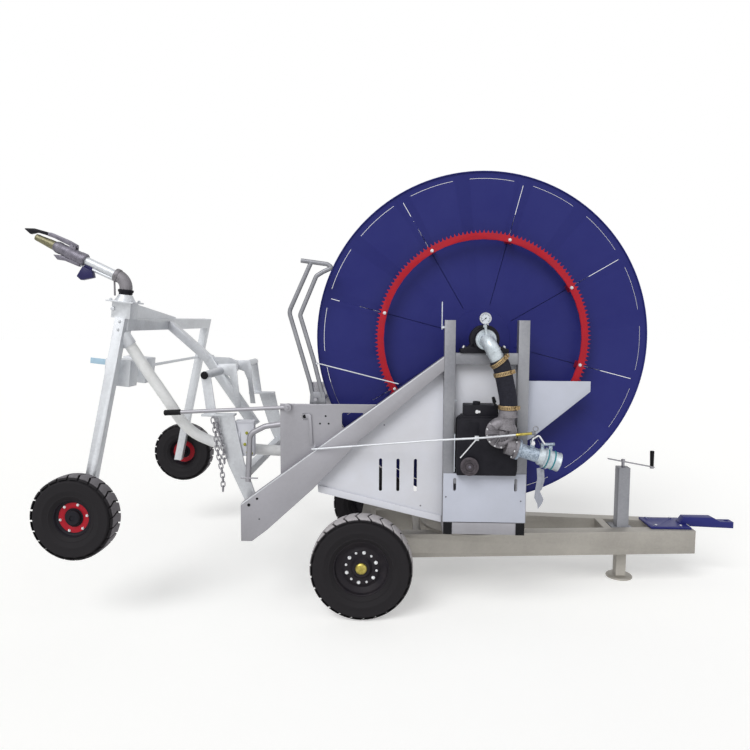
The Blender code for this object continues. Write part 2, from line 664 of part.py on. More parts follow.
def make_side_plates():
    rear, top = SIDE_PLATE_REAR_X, SIDE_PLATE_TOP_Z
    split = PLATE_SPLIT
    outline = [split[0], split[1], (0.170, split[1][1] + 0.270 * 0.845), (0.110, top), (rear, top)]
    for side, sign in (("near", -1), ("far", 1)):
        y = mirrored((PANEL_Y - SIDE_PLATE_THICKNESS, PANEL_Y), sign)
        long_y = (y[0] - 0.02, y[1] + 0.02)
        solids = [prism(outline, y[0], y[1])]
        cuts = [rod((GUIDE_X, long_y[0], SCREW_Z), (GUIDE_X, long_y[1], SCREW_Z), SCREW_R + RUNNING_GAP, 16),
                block((-0.115, 0.010), long_y, (1.100, 1.187))]
        if sign < 0:
            lug = ((-0.322, top - 0.020), (-0.240, top - 0.020), (-0.245, 1.300), (-0.246, 1.470),
                   (-0.262, 1.475))
            solids.append(prism(lug, y[0], y[1]))
            cuts.append(rod((CLUTCH_PIVOT[0], long_y[0], CLUTCH_PIVOT[1]),
                            (CLUTCH_PIVOT[0], long_y[1], CLUTCH_PIVOT[1]), 0.0085, 12))
            cuts.append(rod((STOP_PIVOT[0], long_y[0], STOP_PIVOT[1]),
                            (STOP_PIVOT[0], long_y[1], STOP_PIVOT[1]), 0.0085, 12))
            middle = (y[0] + y[1]) / 2
            bent = round_corners(((rear + 0.020, middle + 0.016, 1.118), (-0.560, middle + 0.016, 1.100),
                                  (-0.646, middle + 0.016, 1.055), (-0.660, middle + 0.016, 0.778)), 0.050)
            solids.append(sweep(bent, 0.016, 2))
        piece("side_plate_" + side, "turntable_axis", galvanised(), solids, cuts)


def split_below(offset):
    return [(x, z - offset) for x, z in PLATE_SPLIT]


def make_panels():
    y = (-PANEL_Y, -PANEL_Y + SHEET)
    middle = POST_LEFT_X
    lower = split_below(0.002)
    toe = (-0.270, 0.771)
    panel = [toe, (middle - 0.001, 0.592), (middle - 0.001, lower[2][1]), lower[2], lower[1], (-0.290, 0.815)]
    slots = [block((x - 0.008, x + 0.008), (y[0] - 0.05, y[1] + 0.05), (0.736, 0.926))
             for x in (0.106, 0.205, 0.304)]
    lip = prism(((-0.254, 0.7700), (-0.250, 0.7260), (middle - 0.034, 0.5625), (middle - 0.034, 0.6030)),
                y[0] - 0.009, y[1])
    piece("panel_left", "turntable_axis", white_sheet(), [prism(panel, *y), lip], slots)

    between = block((POST_LEFT_X + 0.001, POST_RIGHT_X - 0.001), y,
                    (BASE_TOP_Z + 0.010, TOP_BAR_TOP_Z - 0.020))
    shaft_hole = rod((REEL_X, y[0] - 0.05, PINION_Z), (REEL_X, y[1] + 0.05, PINION_Z),
                     PINION_SHAFT_R + 0.006, 16)
    piece("panel_middle", "turntable_axis", white_sheet(), [between], [shaft_hole])

    start = POST_RIGHT_X + 0.001
    right = ((start, 1.020), (0.954, 1.052), (1.273, 1.318), (1.273, 1.376), (start, 1.376))
    piece("panel_right", "turntable_axis", white_sheet(), [prism(right, *y)])

    front = (-POST_FACE_Y - GAP - SHEET, -POST_FACE_Y - GAP)
    cover = block((0.459, 0.917), front, (0.584, SEAT_BAR_TOP_Z - GAP))
    cuts = [block((x - 0.008, x + 0.008), (front[0] - 0.05, front[1] + 0.05), (0.762, 0.834))
            for x in (0.522, 0.861)]
    piece("panel_lower", "turntable_axis", white_sheet(), [cover], cuts)


def make_bearings():
    for side, sign in (("near", -1), ("far", 1)):
        y = mirrored((0.645, 0.735), sign)
        base_z = TOP_BAR_TOP_Z + GAP
        dome = 0.081
        turns = [radians(angle) for angle in range(-20, 201, 20)]
        arc = [(REEL_X + dome * cos(turn), REEL_Z + dome * sin(turn)) for turn in turns]
        outline = [(REEL_X - 0.132, base_z), (REEL_X + 0.132, base_z), (REEL_X + 0.132, base_z + 0.030),
                   (REEL_X + 0.088, base_z + 0.034)] + arc + [(REEL_X - 0.088, base_z + 0.034),
                                                              (REEL_X - 0.132, base_z + 0.030)]
        bolts = [rod((REEL_X + x, (y[0] + y[1]) / 2, base_z + 0.028),
                     (REEL_X + x, (y[0] + y[1]) / 2, base_z + 0.046),
                     0.012, 6) for x in (-0.110, 0.110)]
        bore = rod((REEL_X, y[0] - 0.02, REEL_Z), (REEL_X, y[1] + 0.02, REEL_Z),
                   SHAFT_R + RUNNING_GAP + 0.0006, 24)
        piece("bearing_" + side, "turntable_axis", black_casting(), [prism(outline, *y)] + bolts, [bore])


# Reel

def clockwise(angle, radius, y=0.0):
    return Vector((REEL_X + radius * sin(angle), y, REEL_Z + radius * cos(angle)))


def radial_slot(angle, inner, outer, width, y):
    out = Vector((sin(angle), cos(angle)))
    side = Vector((out.y, -out.x)) * width / 2
    centre = Vector((REEL_X, REEL_Z))
    return prism((centre + out * inner - side, centre + out * outer - side, centre + out * outer + side,
                  centre + out * inner + side), *y)


def arc_slot(start, end, radius, width, y, steps=2):
    angles = [start + (end - start) * step / steps for step in range(steps + 1)]
    outer = [(REEL_X + (radius + width / 2) * sin(a), REEL_Z + (radius + width / 2) * cos(a)) for a in angles]
    inner = [(REEL_X + (radius - width / 2) * sin(a), REEL_Z + (radius - width / 2) * cos(a)) for a in angles]
    return prism(outer + inner[::-1], *y)


def make_flanges():
    for side, sign in (("near", -1), ("far", 1)):
        face = FLANGE_IN_Y + FLANGE_SHEET
        bore = SHAFT_R + GAP
        profile = [(bore, FLANGE_IN_Y - 0.050), (0.070, FLANGE_IN_Y - 0.050), (0.070, FLANGE_IN_Y),
                   (FLANGE_R, FLANGE_IN_Y), (FLANGE_R, face + FLANGE_LIP), (FLANGE_R - 0.008, face),
                   (bore, face)]
        solid = lathe(profile, 40, (REEL_X, 0, REEL_Z), (0, sign, 0))
        y = mirrored((FLANGE_IN_Y - 0.01, face + 0.02), sign)
        cuts = []
        for sector in range(8):
            seam = radians(SEAM_ANGLE + 45 * sector)
            cuts.append(radial_slot(seam, SEAM_IN_R, SEAM_OUT_R, SEAM_WIDTH, y))
            for start in (3.5, 25.5):
                cuts.append(arc_slot(seam + radians(start), seam + radians(start + 16), RIM_SLOT_R,
                                     RIM_SLOT_WIDTH, y))
        piece("flange_" + side, "reel_axis", blue_paint(), [solid], cuts)


def make_drum():
    centre = (REEL_X, 0, REEL_Z)
    end = FLANGE_IN_Y - GAP
    core = [(CORE_R - CORE_SHEET, -end), (CORE_R - GAP, -end), (CORE_R - GAP, end),
            (CORE_R - CORE_SHEET, end)]
    piece("drum_core", "reel_axis", blue_paint(), [lathe(core, 32, centre)])
    layers = [(CORE_R, -end), (LAYERS_R, -end), (LAYERS_R, end), (CORE_R, end)]
    piece("pipe_inner_layers", "reel_axis", pipe_plastic(), [lathe(layers, 32, centre)])
    shaft = rod((REEL_X, -SHAFT_END_Y, REEL_Z), (REEL_X, SHAFT_END_Y, REEL_Z), SHAFT_R, 24)
    piece("reel_shaft", "reel_axis", galvanised(), [shaft])


def make_winding():
    first, last = LANE_FIRST_Y, -LANE_FIRST_Y
    turns = (first - last) / PIPE_LANE
    steps = round(turns * TURN_STEPS)
    points = []
    for step in range(steps + 1):
        share = step / steps
        angle = pi - tau * turns * (1 - share)
        points.append(clockwise(angle, PIPE_TURN_R, first + (last - first) * share))
    points.insert(0, points[0] - 2 * PIPE_R * (points[1] - points[0]).normalized())
    points.append(points[-1] + Vector((-2 * PIPE_R, 0, 0)))
    cord_piece("pipe_outer_layer", "reel_axis", pipe_plastic(), points, PIPE_R, 1)
    pairs = [(a, b) for number, a in enumerate(points) for b in points[number + TURN_STEPS // 2:]]
    least = min((a - b).length for a, b in pairs)
    print(f"outer layer: {turns:.2f} turns, least gap between turns {1000 * (least - 2 * PIPE_R):.2f} mm")


def toothed(centre, pitch_radius, teeth, offset, shape, y):
    outline = []
    for tooth in range(teeth):
        for share, height in shape:
            angle = tau * (tooth + share + offset) / teeth
            radius = pitch_radius + height * GEAR_MODULE
            outline.append((centre[0] + radius * cos(angle), centre[1] + radius * sin(angle)))
    return prism(outline, *y)


def make_gears():
    y = (-GEAR_FACE_Y, -GEAR_FACE_Y + GEAR_THICKNESS)
    ring = toothed((REEL_X, REEL_Z), GEAR_PITCH_R, GEAR_TEETH, 0.0, RING_TOOTH, y)
    opening = rod((REEL_X, y[0] - 0.02, REEL_Z), (REEL_X, y[1] + 0.02, REEL_Z), GEAR_IN_R, 48)
    brackets = []
    for sector in range(8):
        angle = radians(SEAM_ANGLE + 45 * sector)
        out = Vector((sin(angle), cos(angle)))
        centre = Vector((REEL_X, REEL_Z)) + out * (GEAR_IN_R + 0.014)
        side = Vector((out.y, -out.x))
        depth, width = out * 0.012, side * 0.020
        corners = [centre - depth - width, centre + depth - width, centre + depth + width,
                   centre - depth + width]
        brackets.append(prism(corners, y[1] - 0.004, -FLANGE_IN_Y - FLANGE_SHEET - GAP))
    piece("gear_ring", "reel_axis", red_paint(), [ring] + brackets, [opening])

    pinion_y = (y[0] - 0.004, y[1] + 0.004)
    quarter = PINION_TEETH / 4 - int(PINION_TEETH / 4)
    pinion = toothed((REEL_X, PINION_Z), PINION_PITCH_R, PINION_TEETH, 0.5 + quarter, PINION_TOOTH, pinion_y)
    shaft = rod((REEL_X, -POST_BACK_Y - GAP, PINION_Z), (REEL_X, pinion_y[1] + 0.012, PINION_Z),
                PINION_SHAFT_R, 16)
    piece("drive_pinion", "pinion_axis", galvanised(), [pinion, shaft])

    x, _, z = frames["pulley_axis"][1]
    front = -GEARBOX_FRONT_Y - GAP
    section = [(0, 0), (PULLEY_R, 0), (PULLEY_R, 0.004), (PULLEY_R - 0.010, 0.010), (PULLEY_R, 0.016),
               (PULLEY_R, PULLEY_WIDTH - 0.004), (PULLEY_R - 0.014, PULLEY_WIDTH - 0.004), (0.020, 0.012),
               (0.020, PULLEY_WIDTH), (0, PULLEY_WIDTH)]
    piece("input_pulley", "pulley_axis", black_casting(),
          [lathe(section, 16, (x, front, z), (0, -1, 0), ring=False)])


def make_gearbox():
    bottom = SEAT_BAR_TOP_Z + GAP
    y = (-GEARBOX_FRONT_Y, -POST_BACK_Y - 2 * GAP)
    body = ((0.528, bottom), (0.852, bottom), (0.858, bottom + 0.030), (0.858, 1.120), (0.790, 1.183),
            (0.548, 1.183), (0.528, 1.165))
    lid = block((0.564, 0.729), (y[0] + 0.012, y[1] - 0.006), (1.175, 1.251))
    stub = rod((0.634, y[0] + 0.045, 1.240), (0.634, y[0] + 0.045, 1.268), 0.020, 12)
    fitting = rod((0.634, y[0] + 0.020, 1.212), (0.634, y[0] - 0.004, 1.212), 0.008, 8)
    link = strut((0.546, 0.960), (0.640, 1.072), 0.008, (y[0] - 0.006, y[0] + 0.004))
    piece("gearbox", "turntable_axis", black_casting(), [prism(body, *y), lid, stub, fitting, link])


# Turbine, feed hose and gauge

def make_turbine():
    x, z = TURBINE_CENTRE
    near, far = -TURBINE_Y[1], -TURBINE_Y[0]
    depth = far - near
    section = [(0, 0), (TURBINE_R * 0.55, 0), (TURBINE_R * 0.80, 0.010), (TURBINE_R, 0.026),
               (TURBINE_R, depth - 0.012),
               (TURBINE_R * 0.92, depth), (0, depth)]
    volute = lathe(section, 20, (x, near, z), (0, 1, 0), ring=False)
    back = rod((x, far - 0.005, z), (x, -GEARBOX_FRONT_Y - GAP, z), 0.052, 14)
    middle = (near + far) / 2
    neck_x, neck_z = TURBINE_NECK
    neck = rod((x + 0.018, middle, z + 0.020), (neck_x - 0.006, middle, neck_z - 0.022), 0.050, 14, 0.042)
    collar = rod((neck_x, middle, neck_z - 0.040), (neck_x, middle, neck_z), HOSE_R + 0.003, 14)
    start, _ = inlet_line(-0.060)
    end, _ = inlet_line(0.0)
    stub = rod(start, end, 0.044, 12)
    rest = rod((0.718, near + 0.020, 1.102), (0.718, CONTROL_ROD_Y + CONTROL_ROD_R + GAP, 1.102), 0.008, 8)
    piece("turbine", "turntable_axis", cast_aluminium(), [volute, back, neck, collar, stub, rest])


def inlet_line(distance):
    direction = Vector((0.955, 0.0, -0.296)).normalized()
    start = Vector((0.838, -0.846, 1.028))
    return start + direction * distance, direction


def make_inlet():
    start, direction = inlet_line(GAP)
    end, _ = inlet_line(INLET_LENGTH)
    pipe = rod(start, inlet_line(INLET_LENGTH - 0.070)[0], INLET_R, 12)
    flange = rod(start, inlet_line(0.014)[0], 0.056, 12)
    socket = rod(inlet_line(INLET_LENGTH - 0.110)[0], end, INLET_SOCKET_R * 0.90, 16, INLET_SOCKET_R)
    ring = rod(inlet_line(INLET_LENGTH - 0.085)[0], inlet_line(INLET_LENGTH - 0.060)[0],
               INLET_SOCKET_R + 0.004, 16)
    bore = rod(inlet_line(INLET_LENGTH - 0.060)[0], inlet_line(INLET_LENGTH + 0.02)[0],
               INLET_SOCKET_R - 0.009, 16)
    pivot = Vector(coupling_pivot())
    lug = block((pivot.x - 0.012, pivot.x + 0.012), (pivot.y + 0.0075, pivot.y + 0.020),
                (pivot.z - 0.045, pivot.z + 0.012))
    piece("inlet_coupling", "turntable_axis", galvanised(), [pipe, flange, socket, ring, lug], [bore])


def coupling_pivot():
    point, _ = inlet_line(0.085)
    return (point.x, point.y - 0.020, point.z + 0.060)


def make_coupling_lever():
    x, y, z = coupling_pivot()
    path = round_corners(((x, y, z), (x - 0.005, y, z + 0.020), (x + 0.030, y, z + 0.044),
                          (x + 0.062, y, z - 0.004)),
                         0.010, 2)
    hub = rod((x, y + 0.007, z), (x, y - 0.007, z), 0.011, 12)
    piece("coupling_lever", "coupling_axis", galvanised(), [hub, sweep(path, 0.005, 2)])


def elbow_path():
    down = Vector((sin(ELBOW_LEAN), 0, -cos(ELBOW_LEAN)))
    out = Vector((0, -1, 0))
    start = Vector((REEL_X, -SHAFT_END_Y - GAP, REEL_Z))
    bend = start + out * 0.012
    path = [start]
    for step in range(7):
        angle = pi / 2 * step / 6
        path.append(bend + down * ELBOW_BEND_R * (1 - cos(angle)) + out * ELBOW_BEND_R * sin(angle))
    path.append(path[-1] + down * 0.056)
    return path, down


def make_feed():
    path, down = elbow_path()
    collar = rod(path[0], path[0] + Vector((0, -0.022, 0)), 0.056, 20)
    stem = rod(path[3] + Vector((-0.006, 0, 0.010)), (REEL_X - 0.012, path[3].y, GAUGE_STEM_TOP_Z), 0.007, 8)
    piece("swivel_elbow", "turntable_axis", galvanised(), [sweep(path, FEED_PIPE_R, 3), collar, stem])
    gauge_x, gauge_y, gauge_z = REEL_X - 0.012, path[3].y, GAUGE_STEM_TOP_Z + GAP + GAUGE_R
    dial = lathe([(0, 0), (GAUGE_R, 0), (GAUGE_R, 0.024), (GAUGE_R - 0.004, 0.028), (0, 0.028)], 24,
                 (gauge_x, gauge_y + 0.014, gauge_z), (0, -1, 0), ring=False)
    piece("pressure_gauge", "turntable_axis", galvanised(), [dial])

    top = path[-1] + down * GAP
    neck = Vector((TURBINE_NECK[0], -(TURBINE_Y[0] + TURBINE_Y[1]) / 2, TURBINE_NECK[1] + GAP))
    upper, lower = top + down * 0.050, neck + Vector((0, 0, 0.060))
    route, _ = smooth_route((top, upper, lower, neck), 9)
    hose = sweep([top, top + down * 0.020] + route[2:-2] + [neck + Vector((0, 0, 0.026)), neck], HOSE_R, 2)
    bands = []
    middle = (route[2] + route[3]) / 2
    spots = ((top + down * 0.014, down), (middle, route[3] - route[2]),
             (neck + Vector((0, 0, 0.014)), (0, 0, -1)))
    for centre, along in spots:
        half = Vector(along).normalized() * 0.008
        bands.append(rod(centre - half, centre + half, CLAMP_R, 14))
    piece("supply_hose", "turntable_axis", rubber(), [hose] + bands)


def make_control_rod():
    y = CONTROL_ROD_Y
    path = ((-0.278, -0.730, 0.988), (0.430, -0.830, 1.068), (0.640, y, 1.094), (0.915, y, 1.122))
    eye = rod((-0.268, -0.734, 0.990), (-0.268, -PANEL_Y - GAP, 0.990), 0.0065, 10)
    spring = rod((0.820, y, 1.1125), (0.930, y, 1.1240), 0.011, 10)
    piece("control_rod", "turntable_axis", galvanised(),
          [sweep(round_corners(path, 0.15, 2), CONTROL_ROD_R, 2), eye, spring])


# Pipe guide and levers

def make_guide():
    end = PANEL_Y
    screw = rod((GUIDE_X, -end, SCREW_Z), (GUIDE_X, end, SCREW_Z), SCREW_R, 16)
    sprocket = lathe([(0, 0), (SPROCKET_R, 0), (SPROCKET_R, 0.008), (0, 0.008)], 16,
                     (GUIDE_X, PANEL_Y - SIDE_PLATE_THICKNESS - 0.022, SCREW_Z), (0, 1, 0), ring=False)
    piece("reversing_screw", "screw_axis", galvanised(), [screw, sprocket])

    inside = PANEL_Y - SIDE_PLATE_THICKNESS - GAP
    bar = rod((GUIDE_X, -inside, GUIDE_BAR_Z), (GUIDE_X, inside, GUIDE_BAR_Z), GUIDE_BAR_R, 12)
    piece("guide_bar", "turntable_axis", galvanised(), [bar])
    tie = block((-0.455, -0.405), (-inside, inside), (0.755, 0.805))
    piece("rear_tie", "turntable_axis", galvanised(), [tie])

    y = -LANE_FIRST_Y
    half = CARRIAGE_DEPTH / 2
    pipe_z = 0.922
    frame = block((GUIDE_X - half, GUIDE_X + half), (y - CARRIAGE_HALF_WIDTH, y + CARRIAGE_HALF_WIDTH),
                  (GUIDE_BAR_Z - 0.025, SCREW_Z + 0.040))
    window = PIPE_R + 0.006
    cuts = [block((GUIDE_X - 0.1, GUIDE_X + 0.1), (y - window, y + window),
                  (pipe_z - window, pipe_z + window)),
            rod((GUIDE_X, y - 0.12, SCREW_Z), (GUIDE_X, y + 0.12, SCREW_Z),
                SCREW_R + RUNNING_GAP + 0.0003, 16),
            rod((GUIDE_X, y - 0.12, GUIDE_BAR_Z), (GUIDE_X, y + 0.12, GUIDE_BAR_Z),
                GUIDE_BAR_R + RUNNING_GAP + 0.0003, 12),
            block((GUIDE_X - 0.1, GUIDE_X + 0.1), (y - 0.050, y + 0.050), (1.010, 1.105))]
    piece("guide_carriage", "carriage_axis", galvanised(), [frame], cuts)


def make_levers():
    y = -CLUTCH_Y
    px, pz = CLUTCH_PIVOT
    rod_a = round_corners(((-0.299, y, 2.015), (-0.417, y, 1.754), (-0.298, y, 1.349), (px - 0.020, y, pz)),
                          0.06, 2)
    rod_b = round_corners(((-0.348, y, 2.041), (-0.200, y, 2.021), (-0.172, y, 2.002), (-0.225, y, 1.978),
                           (-0.262, y, 1.955), (-0.355, y, 1.736), (-0.275, y, 1.470),
                           (px + 0.036, y, pz + 0.010)),
                          0.03, 1)
    boss = prism(((px - 0.040, pz - 0.030), (px + 0.055, pz - 0.030), (px + 0.045, pz + 0.040),
                  (px - 0.035, pz + 0.040)), y - 0.010, y + 0.010)
    pin = rod((px, y, pz), (px, -PANEL_Y - 0.004, pz), 0.0080, 12)
    piece("clutch_lever", "clutch_axis", galvanised(),
          [sweep(rod_a, LEVER_TUBE_R, 1), sweep(rod_b, LEVER_TUBE_R, 1), boss, pin])

    y = -STOP_Y
    px, pz = STOP_PIVOT
    bar = rod((px + 0.020, y, pz + 0.002), (px - 0.630, y, pz - 0.034), LEVER_TUBE_R * 0.9, 10)
    grip = rod((px - 0.615, y, pz - 0.033), (px - 0.710, y, pz - 0.038), STOP_GRIP_R, 12)
    boss = rod((px, y - 0.014, pz), (px, -PANEL_Y - GAP, pz), 0.022, 16)
    pin = rod((px, y, pz), (px, -PANEL_Y + SIDE_PLATE_THICKNESS + 0.004, pz), 0.0080, 12)
    piece("stop_lever", "stop_axis", galvanised(), [bar, grip, boss, pin])


# Lift frame

def make_lift_frame():
    px, pz = LIFT_PIVOT
    tx, tz = LIFT_TUBE
    shelf_z = pz + 0.502
    leg = ((px + 0.038, pz - 0.034), (px - 0.030, pz - 0.045), (px - 0.140, pz + 0.200),
           (px - 0.228, shelf_z - 0.016), (px - 0.298, shelf_z - 0.012), (px - 0.298, shelf_z),
           (px - 0.265, shelf_z), (tx - 0.030, tz - 0.010), (tx + 0.026, tz - 0.010), (px - 0.210, shelf_z),
           (px - 0.105, shelf_z), (px - 0.105, shelf_z - 0.016), (px - 0.050, pz + 0.220))
    solids = []
    for sign in (-1, 1):
        y = mirrored(LIFT_LEG_Y, sign)
        solids.append(prism(leg, *y))
        shelf = mirrored((LIFT_LEG_Y[0] - 0.060, LIFT_LEG_Y[1] + 0.004), sign)
        solids.append(block((px - 0.295, px - 0.108), shelf, (shelf_z - 0.013, shelf_z - 0.0015)))
    solids.append(rod((tx, -LIFT_TUBE_HALF, tz), (tx, LIFT_TUBE_HALF, tz), LIFT_TUBE_R, 14))
    half = LIFT_BAR / 2
    bar_x, bar_z = px - 0.072, pz + 0.130
    solids.append(block((bar_x - half, bar_x + half), (-LIFT_LEG_Y[0] - 0.005, LIFT_LEG_Y[0] + 0.005),
                        (bar_z - half, bar_z + half)))
    knee = ((tx - 0.020, tz - 0.005), (tx - 0.010, tz + 0.044), (tx + 0.100, tz + 0.046),
            (tx + 0.110, tz - 0.080), (tx + 0.130, tz - 0.250), (tx + 0.097, tz - 0.250),
            (tx + 0.080, tz - 0.090), (tx + 0.055, tz - 0.030))
    for y in KNEE_PLATES_Y:
        solids.append(prism(knee, y, y + 0.010))
    bores = [rod((px, sign * 0.55, pz), (px, sign * 0.65, pz), LIFT_PIN_R + RUNNING_GAP + 0.0003, 12)
             for sign in (-1, 1)]
    piece("lift_frame", "lift_axis", galvanised(), solids, bores)


# Sprinkler cart

def to_cart(point):
    offset = Vector(point) - Vector((CART_AXLE[0], 0, CART_AXLE[1]))
    return Matrix.Rotation(-CART_TILT, 3, "Y") @ offset


def make_cart_frame():
    top_x, top_z = CART_TOP
    half = CART_LEG / 2
    solids = []
    for sign in (-1, 1):
        y = mirrored(CART_LEG_Y, sign)
        foot = -0.045
        leg = ((-half + foot * tan(CART_RAKE), foot), (half + foot * tan(CART_RAKE), foot),
               (top_x + half, top_z), (top_x - half, top_z))
        solids.append(prism(leg, *y))
        inner = CART_TRACK_OUT - CART_TYRE_WIDTH
        solids.append(rod((0, sign * (CART_LEG_Y[0] + 0.02), 0),
                          (0, sign * (inner + CART_TYRE_WIDTH * 0.62), 0),
                          CART_SPINDLE_R, 12))
    reach = CART_LEG_Y[0] + 0.010
    bottom = top_z - CART_BEAM_HEIGHT
    width = CART_BEAM_WIDTH / 2
    solids.append(block((top_x - width, top_x + width), (-reach, reach), (bottom, top_z - 0.001)))
    riser_y = GUN_Y + 0.050
    gusset = ((riser_y, top_z - 0.005), (0.060, top_z - 0.005), (0.060, top_z + 0.008),
              (riser_y + 0.040, RISER_PLATE_Z + 0.002), (riser_y, RISER_PLATE_Z + 0.002))
    solids.append(prism(gusset, top_x - 0.004, top_x + 0.004, "X"))
    solids.append(block((top_x - 0.052, top_x + 0.052), (GUN_Y - 0.045, GUN_Y + 0.055),
                        (top_z - 0.003, RISER_PLATE_Z + 0.002)))
    plate = RISER_PLATE / 2
    solids.append(block((top_x - plate, top_x + plate), (GUN_Y - plate, GUN_Y + plate),
                        (RISER_PLATE_Z, RISER_PLATE_Z + RISER_PLATE_THICKNESS)))
    solids.append(rod((top_x, GUN_Y, RISER_PLATE_Z + 0.004), (top_x, GUN_Y, GUN_SWIVEL_Z - RUNNING_GAP),
                      0.056, 14, 0.036))
    _, outer = free_pipe_routes()
    end = to_cart(outer[-1])
    heading = (end - to_cart(outer[-2])).normalized()
    solids.append(rod(end + heading * GAP, end + heading * 0.075, PIPE_R + 0.006, 14))
    solids.append(block((end.x - 0.030, top_x + 0.020), (end.y - 0.030, end.y + 0.030),
                        (end.z + 0.040, bottom + 0.003)))
    tie_x = TIE_Z * tan(CART_RAKE)
    solids.append(rod((tie_x, -reach, TIE_Z), (tie_x, reach, TIE_Z), TIE_BAR_R, 10))
    piece("cart_frame", "cart_frame_axis", galvanised(), solids)

    for name, y in (("near", (riser_y, riser_y + 0.110)), ("far", (-0.470, -0.330))):
        box = block((tie_x - 0.075, tie_x + 0.070), y, (TIE_Z - 0.085, TIE_Z + 0.065))
        extra = []
        if name == "far":
            extra.append(block((tie_x - 0.320, tie_x - 0.070), (y[0] + 0.100, y[0] + 0.108),
                               (TIE_Z - 0.012, TIE_Z + 0.022)))
        bore = rod((tie_x, y[0] - 0.05, TIE_Z), (tie_x, y[1] + 0.05, TIE_Z), TIE_BAR_R + GAP + 0.0003, 10)
        piece("weight_box_" + name, "cart_frame_axis", galvanised(), [box] + extra, [bore])


def in_cart(x, z):
    point = to_cart((x, 0, z))
    return point.x, point.z


def make_drawbar():
    tx, tz = LIFT_TUBE
    arm = [in_cart(tx + x, tz + z) for x, z in ((-0.395, 0.290), (-0.142, 0.072), (0.165, -0.374))]
    y = DRAWBAR_Y
    depth = 0.062
    upper = strut(arm[0], (arm[1][0] + 0.012, arm[1][1] - 0.012), depth * 0.8, y)
    lower = strut(arm[1], arm[2], depth, (y[0] + 0.003, y[1] - 0.003))
    tube = in_cart(tx, tz)
    width = CART_BEAM_WIDTH / 2 + GAP
    low, high = CART_TOP[1] - CART_BEAM_HEIGHT - GAP, CART_TOP[1] + 0.1
    cuts = [rod((tube[0], y[0] - 0.02, tube[1]), (tube[0], y[1] + 0.02, tube[1]),
                (LIFT_TUBE_R + GAP) / cos(pi / 16), 16),
            block((CART_TOP[0] - 0.2, CART_TOP[0] + width), (y[0] - 0.02, y[1] + 0.02), (low, high))]
    outline = ((-0.155, 0.080), (-0.150, 0.050), (-0.075, 0.015), (-0.027, 0.010), (0.029, 0.010),
               (0.037, -0.014), (0.059, -0.014), (0.059, 0.050), (0.005, 0.072))
    hook = prism([in_cart(tx + x, tz + z) for x, z in outline], y[0] + 0.020, y[0] + 0.034)
    piece("cart_drawbar", "cart_frame_axis", galvanised(), [upper, lower, hook], cuts)


# Sprinkler gun

def gun_point(distance, height, y=0.0):
    along = Vector((-cos(GUN_RISE), 0, sin(GUN_RISE)))
    up = Vector((sin(GUN_RISE), 0, cos(GUN_RISE)))
    turn = pi / 2 - GUN_RISE
    end = Vector((CART_TOP[0] - GUN_BEND_R * (1 - cos(turn)), GUN_Y, GUN_BEND_Z + GUN_BEND_R * sin(turn)))
    return end + along * distance + up * height + Vector((0, y, 0))


def gun_outline(shape):
    points = [gun_point(distance, height) for distance, height in shape]
    return [(point.x, point.z) for point in points]


def make_gun():
    x, z = CART_TOP[0], GUN_BEND_Z
    turn = pi / 2 - GUN_RISE
    path = [Vector((x, GUN_Y, GUN_SWIVEL_Z + 0.004))]
    for step in range(6):
        angle = turn * step / 5
        path.append(Vector((x - GUN_BEND_R * (1 - cos(angle)), GUN_Y, z + GUN_BEND_R * sin(angle))))
    path.append(gun_point(0.018, 0.0))
    swivel = rod((x, GUN_Y, GUN_SWIVEL_Z), (x, GUN_Y, z - 0.004), GUN_PIPE_R + 0.004, 20)
    pin = rod(gun_point(-0.005, -0.030), gun_point(0.020, -0.115), 0.005, 8)
    piece("gun_elbow", "gun_axis", galvanised(), [sweep(path, GUN_PIPE_R * 0.92, 3), swivel, pin])

    barrel = rod(gun_point(0.018 + GAP, 0.0), gun_point(0.210, 0.0), BARREL_R, 16)
    lower = rod(gun_point(0.018 + GAP, -0.028), gun_point(0.220, -0.030), 0.010, 8)
    housing = rod(gun_point(0.195, 0.0), gun_point(0.385, 0.0), 0.035, 16, 0.030)
    nozzle = rod(gun_point(0.375, 0.0), gun_point(0.500, 0.0), 0.026, 16, 0.017)
    mouth = rod(gun_point(0.440, 0.0), gun_point(0.510, 0.0), 0.010, 12)
    block_shape = ((0.118, -0.066), (0.175, -0.108), (0.205, -0.098), (0.196, -0.010), (0.140, -0.010))
    weight = prism(gun_outline(block_shape), GUN_Y - 0.020, GUN_Y + 0.020)
    leaf = gun_outline(((0.262, 0.020), (0.308, 0.020), (0.297, 0.052), (0.273, 0.052)))
    ears = [prism(leaf, GUN_Y + a, GUN_Y + a + 0.008) for a in (-0.020, 0.012)]
    piece("gun_barrel", "gun_axis", cast_aluminium(), [housing, barrel, lower, nozzle, weight] + ears,
          [mouth])

    arm_shape = ((0.270, 0.0425), (0.300, 0.036), (0.400, 0.038), (0.502, 0.026), (0.535, 0.000),
                 (0.572, 0.012), (0.522, 0.038), (0.430, 0.058), (0.320, 0.062), (0.270, 0.058))
    arm = prism(gun_outline(arm_shape), GUN_Y - 0.0110, GUN_Y + 0.0110)
    piece("gun_drive_arm", "gun_arm_axis", black_casting(), [arm])


# The pipe's free run

def free_pipe_routes():
    route, _ = smooth_route(PIPE_ROUTE, PIPE_POINTS)
    before, after = route[PIPE_SPLIT], route[PIPE_SPLIT + 1]
    middle = (before + after) / 2
    half_gap = (after - before).normalized() * GAP / 2
    return route[:PIPE_SPLIT + 1] + [middle - half_gap], [middle + half_gap] + route[PIPE_SPLIT + 1:]


def route_length(points):
    return sum((b - a).length for a, b in zip(points, points[1:]))


